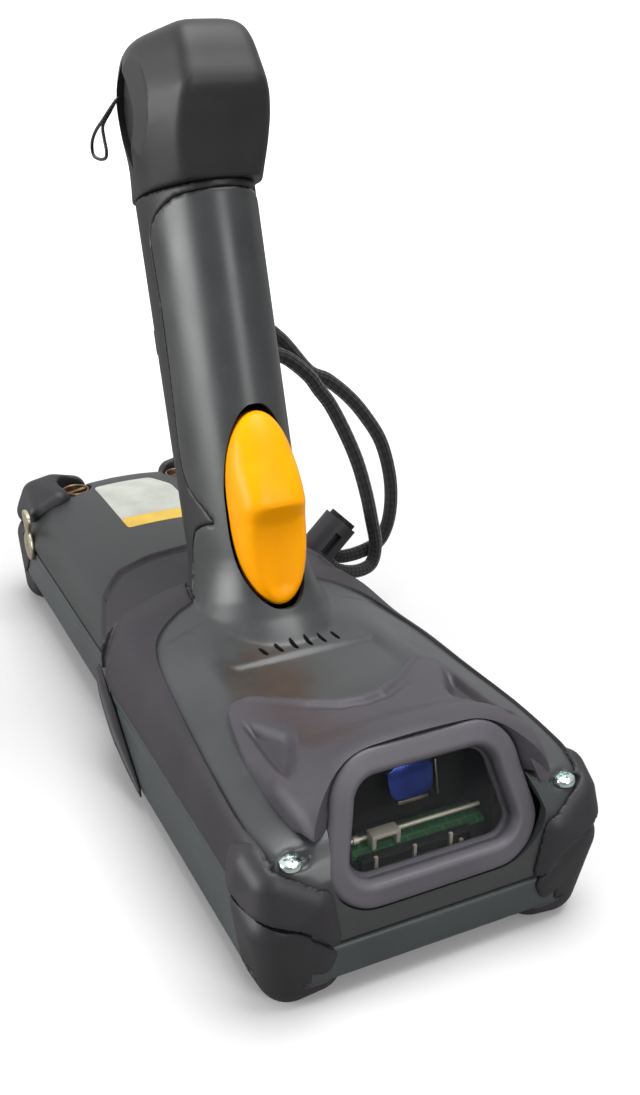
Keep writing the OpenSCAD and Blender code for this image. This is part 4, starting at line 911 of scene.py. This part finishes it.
cover = head_solid("rear_cover_shell", rear_stations, 0, seam_z)
carve(cover, box("cover_front", (-99, -99, 0), (99, split_y + 0.05, 99)))
rod_pair(cover, "coin_well", (coin_x, coin_y), coin_r + 0.6, coin_z, 60)
soften(cover, 0.6, 6)
carve(cover, between(collar_zone("collar_seat", snug), rear_stations, 3, -1.2))
room = head_solid("cover_inside", rear_stations, -wall, -3)
carve(room, box("cover_end", (-99, end_y - wall, -9), (99, 200, 99)))
rod_pair(room, "coin_boss", (coin_x, coin_y), coin_r + 2.2, -9, 99)
carve(cover, room)
carve(cover, grip_solid("grip_passage", snug))
rod_pair(cover, "coin_bore", (coin_x, coin_y), coin_r + 0.35, coin_z, 60)
rod_pair(cover, "coin_hole", (coin_x, coin_y), coin_hole_r, 0, 60)
bed = prism("label_bed", label_outline(0.15), 20, 60)
carve(bed, head_solid("bed_floor", rear_stations, -0.3, -3))
carve(cover, bed)
finish_piece(cover, cover_grey, ["rear_cover"])

# %% Rating label
label = prism("rating_label_sheet", label_outline(0), 20, 60)
between(label, rear_stations, 0.02, -0.28)
finish_piece(label, label_white, ["rating_label"])

# %% [markdown]
# ## The rubber collar
#
# The collar is the soft dark piece round the root of the grip. In front it lies almost flush
# beside the saddle, behind it ends in a raised ridge over the rear cover, and on each flank it
# runs down as a pointed skirt. It is an even skin over the drawn surfaces: the outer body minus
# the body just under it.

# %% Rubber collar
def skirt_solid(side):
    """A pointed leaf that hangs over the flank, as rings from its root to its tip."""
    rows = [(1, 27, 2.2, 1.6), (-5, 22.5, 4, 2.6), (-13, 17, 4.6, 2.8), (-22, 11, 3.6, 2), (-31, 5.5, 1.6, 0.8)]
    rings = []
    turns = [2 * math.pi * k / 24 for k in range(24)]
    for y, z, reach, out in fair(rows[::-1], 2):
        rings.append([(side * (front_half - 0.6 + (out + 0.9) * max(math.cos(a), 0)),
                       y + 0.42 * reach * math.sin(a), z + 0.9 * reach * math.sin(a)) for a in turns])
    return loft("skirt", rings)


collar = head_solid("collar", front_stations, 0.6, seam_z + snug)
ridge = head_solid("ridge", rear_stations, 2.6, seam_z + snug)
carve(ridge, box("ridge_front", (-99, -99, 0), (99, split_y, 99)))
carve(collar, ridge, "UNION")
carve(collar, head_solid("front_below", front_stations, -1.15, -3))
carve(collar, head_solid("rear_below", rear_stations, -1.15, -3))
carve(collar, grip_solid("grip_root", snug))
soften(collar, 0.5, 4)
ridge_line = collar_plan(0)[4:]


def ridge_bead(x, y, z):
    """A rounded bead along the ridge, with a hollow in front of it."""
    if y < 4 or z < 26:
        return None
    off = off_line(ridge_line, x, y, 1)
    rise = 0.7 * bump(off, 0.9, 1.2) - 0.8 * bump(off, 2.9, 1.7)
    lean_out = min(abs(x) / 40, 1)
    return (math.copysign(rise * lean_out, x), 0, rise * (1 - 0.5 * lean_out)) if rise else None


nudge(collar, ridge_bead)
carve(collar, collar_zone("collar_area", 0), "INTERSECT")
for side in (-1, 1):
    leaf = skirt_solid(side)
    near, far = sorted((side * (front_half + snug), side * 100))
    carve(leaf, box("flank", (near, -99, 0), (far, 99, 99)), "INTERSECT")
    soften(leaf, 0.4, 5)
    carve(collar, leaf, "UNION")
finish_piece(collar, collar_rubber, ["rubber_collar"], angle=None)

# %% [markdown]
# ## The scan hood
#
# The hood is a thick rubber arch over the window. It is drawn as stations again: they rise
# steeply to the arch at y = -97 and fall in a long slope to a thin rim on the saddle. On each
# shoulder there is a three-cornered hollow, whose edge is the hood's most visible line. The
# window's rounded outline, leaned back, cuts the mouth.

# %% Scan hood
hood_stations = [
    (-114.3, 22.5, 39, 41), (-112.5, 27.5, 43, 47), (-109.5, 30, 46.5, 52), (-105, 31.5, 48.5, 55.5),
    (-99.5, 32.3, 49.5, 57), (-95.5, 32.6, 49.5, 56.8), (-89.5, 32.6, 47.8, 53.5), (-82.5, 32.6, 46.8, 49.8),
    (-65.5, 32.6, 46, 48.6), (-55.5, 32.6, 45.4, 47.6)]


def hood_section(row):
    """A ring of the arch; its lower edge rises at the very front, over the nose."""
    y, half_w, shoulder, middle = row
    low = min(mix(38.5, 41.4, min(max((-101 - y) / 5, 0), 1)), shoulder - 0.6)
    half = [(half_w, low), (half_w, max(shoulder - 6, low + 0.2)), (half_w - 1.2, max(shoulder - 2, low + 0.4)),
            (half_w - 4.5, shoulder), (half_w * 0.55, mix(shoulder, middle, 0.75)), (0, middle)]
    over = cut_corners(half + [(-x, z) for x, z in reversed(half[:-1])], 2)
    return [(x, y, z) for x, z in over]


hood = loft("hood", [hood_section(row) for row in fair(hood_stations, 1.5)])
rim = [(0, -73.3), (5.5, -72.2), (12.5, -68), (18, -63), (22, -59.4), (25.6, -58), (28.2, -59.4), (29.6, -63.5),
       (31.3, -73), (32.4, -82), (32.6, -92), (31.5, -105), (28, nose_y - 1.6), (0, nose_y - 1.6)]
carve(hood, prism("hood_rim", both_sides(cut_corners(rim, 1)), 0, 99), "INTERSECT")
soften(hood, 0.5, 4)
dish = [(28.6, -62), (19, -80), (30.5, -106)]


def shoulder_hollow(x, y, z):
    """Sinks a three-cornered dish on each shoulder of the hood, with a soft border along each side."""
    share = 1
    for (ax, ay), (bx, by), soft in zip(dish, dish[1:] + dish[:1], (3.5, 3.5, 2.5)):
        reach = ((bx - ax) * (y - ay) - (by - ay) * (abs(x) - ax)) / math.hypot(bx - ax, by - ay) / soft
        share *= min(max(reach, 0), 1)
    return (0, 0, -2.8 * ease_in(share)) if share > 0 and z >= 40 else None


def rim_lip(x, y, z):
    """A low lip along the rear rim and a groove in front of it."""
    if y < -86 or z < 42 or abs(x) > 24:
        return None
    off = off_line(rim[:6], x, y)
    rise = 0.5 * bump(off, 0.8, 1.8) - 0.9 * bump(off, 3.6, 1.8) * bump(x, 0, 24)
    return (0, 0, rise) if rise else None


nudge(hood, shoulder_hollow)
nudge(hood, rim_lip)
modify(hood, "SMOOTH", factor=0.5, iterations=2)
carve(hood, prism("mouth", window_outline(6.5), -30, 30, at_window))
carve(hood, loft("mouth_flare", [[at_window(x, rise, out) for x, rise in window_outline(reach)]
                                 for reach, out in ((6.5, 0.7), (7.1, 1.5), (8.2, 2.6), (10, 3.9), (14, 6))]))
carve(hood, head_solid("saddle_under", front_stations, snug, -3))
finish_piece(hood, hood_rubber, ["scan_hood"], angle=50)

# %% [markdown]
# ## The window's bezel
#
# A fat silicone ring holds the glass. Its cross-section is drawn once, as reach past the glass
# and height over it, and swept along the window's outline; a lathe does the same for round parts.

# %% Bezel
bezel_section = [(-0.75, -3.45), (6.3, -3.45), (6.45, -1), (6.45, 0.6), (6.2, 1.3), (5.4, 1.75), (4.2, 1.95),
                 (2.9, 2.2), (1.9, 2.35), (1.1, 2.1), (0.6, 1.3), (0.2, 0.4), (0.1, -1.68), (-0.75, -1.68)]
bezel_rings = [[at_window(x, rise, out) for x, rise in window_outline(reach)]
               for reach, out in cut_corners(bezel_section, 1, True)]
bezel = loft("bezel", bezel_rings + bezel_rings[:1], caps=False)
modify(bezel, "SUBSURF", levels=1, render_levels=1)
finish_piece(bezel, bezel_rubber, ["window_bezel"], angle=50)

# %% [markdown]
# ## The display-side tray
#
# The lower housing is a deep tray. The display's part is deeper than the keypad's, the rim runs
# lower at the front wall, and a thin groove follows both flanks under the seam.

# %% Display tray
def head_plan(inset):
    """The whole head in plan: wide in front, a little narrower behind the collar."""
    half = (arc((front_half - corner_r, nose_y + corner_r), corner_r - inset, -90, 0, 10)
            + [(front_half - inset, -6), (rear_half - inset, 6)]
            + arc((rear_half - 10, end_y - 10), 10 - inset, 0, 90, 10))
    return both_sides([(0, nose_y + inset)] + half + [(0, end_y - inset)])


tray = prism("display_tray", head_plan(0), 6, seam_z - 1)
carve(tray, box("keypad_step", (-99, 2.2, 0), (99, 200, 10)))
carve(tray, box("front_step", (-99, -200, front_seam_z - 0.6), (99, nose_y + 15.5, 99)))
rod_pair(tray, "groove", (front_half, seam_z - 3.5), 0.8, nose_y + 20, -10, level_y)
rod_pair(tray, "groove", (rear_half, seam_z - 3.5), 0.8, 10, end_y - 14, level_y)
carve(tray, box("screen_bed", (-33, -89, 0), (33, -3, 6.01)))
soften(tray, 0.75, 4)
room = prism("tray_inside", head_plan(wall), 12.2, 50)
carve(room, prism("display_room", head_plan(wall), 8.2, 13), "UNION")
carve(room, box("keypad_floor", (-99, 0, 0), (99, 200, 12.2)))
carve(tray, room)
carve(tray, box("screen_hole", (-33, -89, 0), (33, -3, 12)))
for row in range(4):
    for column in range(4):
        x, y = (column - 1.5) * 15, end_y - 54.5 + (row - 1.5) * 19
        outline = [(x + a, y + b) for a, b in both_sides([(0, -4.5), (5.5, -4.5), (5.5, 4.5), (0, 4.5)])]
        carve(tray, prism("key_hole", outline, 0, 14))
carve(tray, rod("power_hole", (0, 10), 3.85, 0, 14))
carve(tray, box("dock_hole", (-15, end_y - 9, 13), (15, 200, 18)))
rod_pair(tray, "screw_way", (screw_x, screw_y), 1.35, 8.2, 60)
rod_pair(tray, "coin_way", (coin_x, coin_y), coin_hole_r, 12.2, 60)
finish_piece(tray, tray_grey, ["display_housing"])

# %% [markdown]
# ## The trigger
#
# The trigger is the one bright piece. Seen from the side it swells to a nose above its middle and
# sinks in again below it, where the finger pulls. The rings run along it; each is a flat dome
# whose crest follows the side view. Below the nose the dome is nearly flat and a little hollow,
# so the nose becomes a soft crease.

# %% Trigger
trigger_profile = [(-1.0, -0.9), (-0.98, 0.4), (-0.93, 1.4), (-0.82, 2.2), (-0.6, 2.9), (-0.35, 3.9), (-0.15, 5.3),
                   (-0.03, 7.0), (0.03, 7.9), (0.07, 8.0), (0.14, 7.85), (0.4, 6.5), (0.6, 5.0), (0.8, 3.1),
                   (0.92, 1.5), (0.98, 0.2), (1.0, -0.9)]
rings, dome_steps = [], 24
for u, out in fair(trigger_profile, 0.03):
    half_w = trigger_half * max((1 - min(abs(u), 0.9995) ** 2.6) ** 0.5, 0.05)
    along = trigger_start + (u + 1) * trigger_length / 2
    below = min(max((0.04 - u) / 0.2, 0), 1) * min((u + 1) / 0.2, 1)
    blunt = max(below, 1 - min(abs(u - 0.06) / 0.45, 1) ** 1.5)
    ring = [(half_w * 0.97, -16.0), (half_w, -21.2)]
    for k in range(1, dome_steps):
        x = math.cos(math.pi * k / dome_steps)
        dome = (1 - abs(x) ** mix(2.4, 4.6, blunt)) ** 0.6
        dish = 1.5 * below * (1 - min(abs(x) / 0.82, 1) ** 2) ** 1.5
        ring.append((half_w * x, -21.4 - (out + 1.1) * dome + dish))
    ring += [(-half_w, -21.2), (-half_w * 0.97, -16.0)]
    rings.append([on_grip(x, back, along) for x, back in ring])
lever = loft("trigger_lever", rings)
pin_s, pin_back = trigger_start + 4.5, -11.8
carve(lever, rod("pin_lug", (pin_back, pin_s), 3.2, -5, 5, grip_side), "UNION")
lug = [(-17, pin_s - 2.6), (pin_back, pin_s - 2.6), (pin_back, pin_s + 2.6), (-17, pin_s + 2.6)]
carve(lever, prism("lug_web", lug, -5, 5, grip_side), "UNION")
soften(lever, 0.4, 3)
carve(lever, rod("pin_hole", (pin_back, pin_s), 1.55, -30, 30, grip_side))
nose_s = trigger_start + 1.1 * trigger_length / 2
carve(lever, rod("spring_pocket", (0, nose_s + 4), 3.6, -18.5, 0, grip_front))
finish_piece(lever, trigger_yellow, ["trigger"], body="trigger", angle=60)

# %% [markdown]
# ## The battery's foot
#
# The foot closes the battery pack. It widens forward like a hoof, so the hand cannot slip off,
# and its end is a broad dome. Each row of the table gives its reach to the front, the half width
# of the front face, the half width of the flanks, the reach to the rear and how much the rear
# narrows. The leaf-shaped releases sit in dents of their own outline.

# %% Battery foot
foot_rows = [
    (158.15, 23, 9, 15.7, 23.3, 0), (160.5, 24.3, 9.5, 16.1, 23.5, 0.3), (168.5, 28.3, 10.3, 17.9, 24.5, 1.6),
    (174.5, 31.6, 9.8, 19, 24.5, 2), (179.8, 33.9, 8.8, 19.2, 24.5, 2), (180.8, 33.8, 8.6, 19.2, 24.5, 2),
    (185, 32.6, 8.2, 18.6, 24.5, 2), (189.5, 31.2, 7.8, 17.4, 24.1, 2), (193, 29.4, 7, 16, 23.2, 2),
    (195, 27.2, 5.8, 13.8, 21.2, 2), (196, 24.6, 4.4, 11.2, 18.4, 2), (196.4, 21.6, 3.2, 9, 15.4, 2)]
rings = []
for along, front, flat, side, rear, taper in fair(foot_rows, 1.2):
    half = [(flat + 1.6, -front), (side + 0.4, -0.42 * front), (side + 0.2 - 0.6 * taper, 1),
            (0.6 * side + 3.2 - 1.8 * taper, 0.68 * rear + 2.2 - taper), (0.22 * side, rear)]
    over = round_corners(half + [(-x, back) for x, back in reversed(half)], [3.2, 5, 8, 8, 3], 4)
    rings.append([on_grip(x, back, along) for x, back in over])
foot = loft("foot", rings)


def leaf_outline(width, length):
    """A pointed oval about the release's middle, leaning forward by eight degrees."""
    c, s = math.cos(math.radians(8)), math.sin(math.radians(8))
    points = [(width / 2 * math.sin(math.pi * k / 16), mix(-length / 2, length / 2, k / 16)) for k in range(17)]
    points += [(-a, b) for a, b in reversed(points[1:-1])]
    return [(-5 + c * a - s * b, 178 + s * a + c * b) for a, b in points]


for side in (-1, 1):
    dent = [(1.25 * back - 5, along + 1) for back, along in leaf_outline(15, 31)]
    carve(foot, prism("leaf_dent", dent, 0, 25, lambda back, along, depth:
                      on_grip(side * (17.4 + 0.2 * (back + 11) + depth), back, along)))
soften(foot, 0.5, 3)
for side in (-1, 1):
    carve(foot, prism("leaf_hole", leaf_outline(12.7, 26.7), side * 11.8, side * 40, grip_side))
case_outline = (arc((0, 9.4), 10.3, 0, 180, 20) + arc((0, -9.4), 10.3, 180, 360, 20))
carve(foot, prism("case_room", case_outline, 158, 188.25, on_grip))
carve(foot, rod("tether_hole", (1.5, 184), 1.35, -20, -12, grip_side))
finish_piece(foot, foot_black, ["battery_foot"], body="battery", angle=45)

# %% Battery releases
for side, body in ((-1, "latch_left"), (1, "latch_right")):
    release = prism(body + "_leaf", leaf_outline(12, 26), side * 13.8, side * 15.8, grip_side)
    ease(release, 0.5, 3)
    finish_piece(release, foot_black, ["battery_" + body], body=body)

# %% [markdown]
# ## Behind the window
#
# Through the glass one sees the scan engine: a dark cast tray, a turned cross shaft, the blue
# mirror over it, and a narrow green board with a bent clip and a black connector in front. The
# mirror and the shaft are the only bright things, so the tray is nearly black.

# %% Engine tray, shaft and mirror
engine = box("engine_tray", (-20, -105.5, 18.5), (20, -89.5, 41.5))
carve(engine, box("pocket", (-18, -120, 27), (18, -92.5, 60)))
carve(engine, box("open_front", (-18, -120, 21.5), (18, -102.95, 60)))
carve(engine, prism("cheek_slope", [(-104, 44), (-120, 44), (-120, 33), (-104, 33)], -30, 30,
                    level_x))
ease(engine, 0.35)
finish_piece(engine, engine_dark, ["scan_engine"], angle=35)
shaft = rod("engine_shaft", (-99.6, 29.6), 0.55, -18.1, 18.1, level_x)
carve(shaft, rod("shaft_collar", (-99.6, 29.6), 0.9, -15, -13.6, level_x), "UNION")
finish_piece(shaft, tinned_brass)


def on_mirror(x, rise, out):
    """A point of the mirror's frame, which leans back by fourteen degrees."""
    return (0.9 + x, -96.4 - 0.97 * out + 0.24 * rise, 39.4 + 0.97 * rise + 0.24 * out)


mirror_plan = [(-5.9, 4.4), (-5.7, -1.8), (-4.0, -4.2), (4.0, -4.2), (5.7, -1.8), (5.9, 4.4)]
mirror = prism("blue_mirror", cut_corners(mirror_plan, 1, True), 0, 0.9, on_mirror)
ease(mirror, 0.15)
finish_piece(mirror, mirror_blue, ["scan_mirror"], angle=30)
holder = prism("mirror_holder", [(-4, -4.9), (3.8, -4.9), (3.8, -4.0), (-4, -4.0)], -0.6, 1.4, on_mirror)
post = [(6.2, -4.9), (6.7, -4.9), (6.7, 3.6), (6.2, 3.6)]
carve(holder, prism("holder_post", post, -0.6, 1.2, on_mirror), "UNION")
ease(holder, 0.12)
finish_piece(holder, engine_metal, angle=30)

# %% Engine board with its clip and connector
board = box("engine_board_strip", (-17.5, -102.9, 26.95), (17.5, -95.8, 28.1))
finish_piece(board, board_green, ["engine_board"], angle=30)
clip = box("board_clip", (-11.6, -102.7, 28.05), (-4.4, -99.4, 31.6))
carve(clip, box("clip_arch", (-10.5, -110, 20), (-5.5, -90, 30.5)))
ease(clip, 0.25)
finish_piece(clip, tinned_brass, angle=30)
connector = box("board_connector", (-15.5, -105.4, 24.2), (13, -103.0, 27.9))
carve(connector, box("connector_slot", (-14.5, -110, 25), (12, -104.7, 27.1)))
ease(connector, 0.2)
finish_piece(connector, inner_black, angle=30)
pins = box("connector_pins", (-12.6, -105.9, 24.2), (-11.8, -105.2, 28.6))
for x, top in ((-2.8, 28.6), (6.5, 28.8), (9.4, 26.2)):
    carve(pins, box("pin", (x, -105.9, 24.2), (x + 0.8, -105.2, top)), "UNION")
finish_piece(pins, tinned_brass, angle=30)

# %% [markdown]
# ## Screws and fasteners
#
# Round parts are turned: half a profile, given as radius and height, becomes rings round an axis.
# The front screws have a low pan head with a cross recess. The rear fasteners have a wide slot
# for a coin, turned by twenty degrees, and a worn bronze finish.

# %% Turned parts
def turned(name, profile, centre, count=48):
    """A round part: its profile becomes rings about an upright axis."""
    turns = [2 * math.pi * k / count for k in range(count)]
    return loft(name, [[(centre[0] + radius * math.cos(a), centre[1] + radius * math.sin(a), z) for a in turns]
                       for radius, z in profile])


screw_profile = [(1.3, 9.5), (1.3, 36.45), (2.55, 36.45), (2.7, 36.75), (2.65, 37.4), (2.4, 37.95), (1.8, 38.3),
                 (0.9, 38.5), (0.1, 38.53)]
coin_profile = [(1.8, 15), (1.8, 34.6), (4.4, 34.6), (4.8, 34.9), (4.8, 38.1), (4.6, 38.45), (4.2, 38.45),
                (3.95, 38.1), (3.95, 35.8), (0.1, 35.8)]
pair = []
for side in (-1, 1):
    at = (side * screw_x, screw_y)
    screw = turned("front_screw", screw_profile, at)
    for w, h in ((1.35, 0.32), (0.32, 1.35)):
        carve(screw, box("recess", (at[0] - w, at[1] - h, 37.75), (at[0] + w, at[1] + h, 40)))
    pair.append(screw)
screws = carve(pair[0], pair[1], "UNION")
ease(screws, 0.1)
finish_piece(screws, screw_chrome, ["housing_screws"], angle=35)
for side, body in ((-1, "coin_left"), (1, "coin_right")):
    at = (side * coin_x, coin_y)
    coin = turned(body + "_fastener", coin_profile, at)
    c, s = math.cos(math.radians(20)), math.sin(math.radians(20))
    bar = [(at[0] + c * x - s * y, at[1] + s * x + c * y)
           for x, y in ((-4.1, -0.8), (4.1, -0.8), (4.1, 0.8), (-4.1, 0.8))]
    carve(coin, prism("coin_bar", bar, 35.5, 37.9), "UNION")
    ease(coin, 0.15)
    finish_piece(coin, coin_bronze, ["coin_screw_" + body[5:]], body=body, angle=35)

# %% [markdown]
# ## Boots, strap clip and trigger spring
#
# The engineering model already has the boots' outline, so each pair is a copy of its node with an
# even skin, smoothed and then grown by 0.3 mm to make up for what smoothing takes. An upper boot,
# moved down a little, cuts the wavy groove into the lower one. The strap clip, bent sheet on the
# terminal, is drawn as a flat plate in the shape of an 8. The spring keeps its form, on a mesh of
# its own.

# %% Corner boots
for end, upper_rounds in (("front", 5), ("rear", 6)):
    upper = recast(end + "_boots_upper", f"boots_{end}_upper")
    lower = recast(end + "_boots_lower", f"boots_{end}_lower")
    if end == "rear":
        rod_pair(upper, "coin_room", (coin_x, coin_y), 6.3, 33.5, 60)
    for piece, rounds in ((upper, upper_rounds), (lower, 5)):
        soften(piece, 0.45, rounds)
        modify(piece, "DISPLACE", strength=0.3 * mm, mid_level=0)
        nudge(piece, lambda x, y, z: (0, 0, -z) if z < 0 else None)
    above = upper.copy()
    above.data = above.data.copy()
    bpy.context.scene.collection.objects.link(above)
    nudge(above, lambda x, y, z: (0, 0, -1.5))
    carve(lower, above)
    finish_piece(upper, boot_rubber, [end + "_boots_upper"], angle=None)
    finish_piece(lower, boot_rubber, [end + "_boots_lower"], angle=None)

# %% Strap clip and trigger spring
plate = [(88.2, 24), (89.5, 21.5), (92.5, 20.5), (96, 21.1), (98, 23.7), (97.8, 27.5), (96, 29.5), (95.2, 31),
         (96.6, 32.7), (98, 34.7), (97.4, 37.1), (94.5, 38.1), (90.8, 37.3), (89.4, 34.7), (90.8, 32.3),
         (91.4, 30.5), (89.4, 28.1)]
strap_clip = prism("bent_strap_clip", cut_corners(plate, 1, True), 38.6, 39.9, lambda y, z, out: (-out, y, z))
ease(strap_clip, 0.3)
finish_piece(strap_clip, clip_beige, ["strap_clip"], angle=35)
spring = recast("trigger_spring", "return_spring")
finish_piece(spring, steel_plain, ["trigger_spring"])
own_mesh(spring)

# %% [markdown]
# ## Carried-over nodes
#
# Inner and small pieces whose shape is already right keep their engineering model, and only take
# a material. A table from node to material is easier to check than one line for each.

# %% Materials of the carried-over nodes
carried = {
    "display_module": module_metal, "touch_panel": touch_glass, "keypad_mat": mat_silicone,
    "main_board": board_green, "speaker": inner_black, "dock_contacts": contact_gold,
    "power_button": button_red, "trigger_pin": steel_plain, "trigger_bracket": bracket_grey,
    "trigger_switch": inner_black, "battery_case": foot_black, "battery_cells": cell_sleeve,
    "battery_contacts": inner_black, "housing_seal": seal_black, "exit_window": window_glass,
    "lanyard_anchor": rear_shell_black, "cord_lock": boot_rubber, "cord_lock_button": inner_black}
for row in range(1, 5):
    for column in range(1, 5):
        carried[f"key_{row}_{column}"] = key_light if row < 4 and column < 4 else key_grey
for node, material in carried.items():
    nodes[node].data.materials.clear()
    nodes[node].data.materials.append(material)
print(len(carried), "nodes carried over")

# %% [markdown]
# ## Floor, light and background
#
# Dark plastic shows its form best on white, with soft light from all round. The floor is a large
# sheet. Near the terminal it is lit like any other thing, so the soft shadow stays; farther out it
# glows for the camera alone and melts into the background. Large area lamps give long, soft
# highlights: one overhead, one on the left and a small one in front. The world is a light grey
# room whose rear wall is bright to reflections only.

# %% Floor
fresh_start()
bpy.ops.mesh.primitive_plane_add(size=12, location=(0, 3, 0))
floor = bpy.context.object
floor.name = "studio_floor"
paper, tree, shader, place = new_material("studio_paper_white", Roughness=0.9, Specular_IOR_Level=0.1)
light_path = add(tree, "LightPath")
sheet = add(tree, "Mix", {6: linear("#8c8a88"), 7: linear("#cbcbcb")},
            {0: light_path.outputs["Is Camera Ray"]}, data_type="RGBA")
tree.links.new(sheet.outputs[2], shader.inputs["Base Color"])
far = add(tree, "VectorMath", {1: (0, -3, 0)}, {0: place}, operation="DISTANCE")
fade = add(tree, "MapRange", {"From Min": 0.15, "From Max": 0.6, "To Min": 0.05, "To Max": 1.0},
           {"Value": far.outputs["Value"]})
glow = add(tree, "Math", None, {0: light_path.outputs["Is Camera Ray"], 1: fade.outputs[0]},
           operation="MULTIPLY")
shader.inputs["Emission Color"].default_value = (1, 1, 1, 1)
tree.links.new(glow.outputs[0], shader.inputs["Emission Strength"])
floor.data.materials.append(paper)
print("floor", floor.dimensions[:])

# %% World
world = bpy.data.worlds.new("studio_room")
bpy.context.scene.world = world
world.use_nodes = True
tree = world.node_tree
background = tree.nodes["Background"]
light_path = add(tree, "LightPath")
direction = add(tree, "TexCoord")
height = add(tree, "SeparateXYZ", links={"Vector": direction.outputs["Generated"]})
behind = add(tree, "VectorMath", {1: (-0.25, 0.92, 0.3)}, {0: direction.outputs["Generated"]},
             operation="DOT_PRODUCT")
backdrop = add(tree, "MapRange", {"From Min": -0.15, "From Max": 0.6, "To Min": 0.2, "To Max": 1.0},
               {"Value": behind.outputs["Value"]})
glossy = add(tree, "Math", None, {0: light_path.outputs["Is Glossy Ray"], 1: backdrop.outputs[0]},
             operation="MULTIPLY")
seen = add(tree, "Math", None, {0: light_path.outputs["Is Camera Ray"], 1: glossy.outputs[0]},
           operation="MAXIMUM")
soft = add(tree, "MapRange", {"From Min": 0.0, "From Max": 0.9, "To Min": 0.14, "To Max": 0.75},
           {"Value": height.outputs["Z"]})
level = add(tree, "Math", None, {0: seen.outputs[0], 1: soft.outputs[0]}, operation="MAXIMUM")
background.inputs["Color"].default_value = (1, 1, 1, 1)
tree.links.new(level.outputs[0], background.inputs["Strength"])
print("world ready")


# %% Lamps
def area_lamp(name, place, aim, width, height, power):
    data = bpy.data.lights.new(name, "AREA")
    data.shape, data.size, data.size_y, data.energy = "RECTANGLE", width, height, power
    lamp = bpy.data.objects.new(name, data)
    bpy.context.scene.collection.objects.link(lamp)
    lamp.location = place
    lamp.rotation_euler = (Vector(aim) - Vector(place)).to_track_quat("-Z", "Y").to_euler()
    return lamp


area_lamp("overhead_softbox", (0.2, -0.08, 1.1), (0, 0, 0.05), 0.7, 0.8, 13)
area_lamp("left_strip", (-1.1, 0.15, 0.24), (0, 0, 0.06), 0.7, 0.5, 12)
area_lamp("front_strip", (0.15, -1.0, 0.5), (0, 0, 0.14), 0.4, 0.5, 5)
bpy.context.scene.view_settings.view_transform = "Standard"
print("lamps", len(bpy.data.lights))
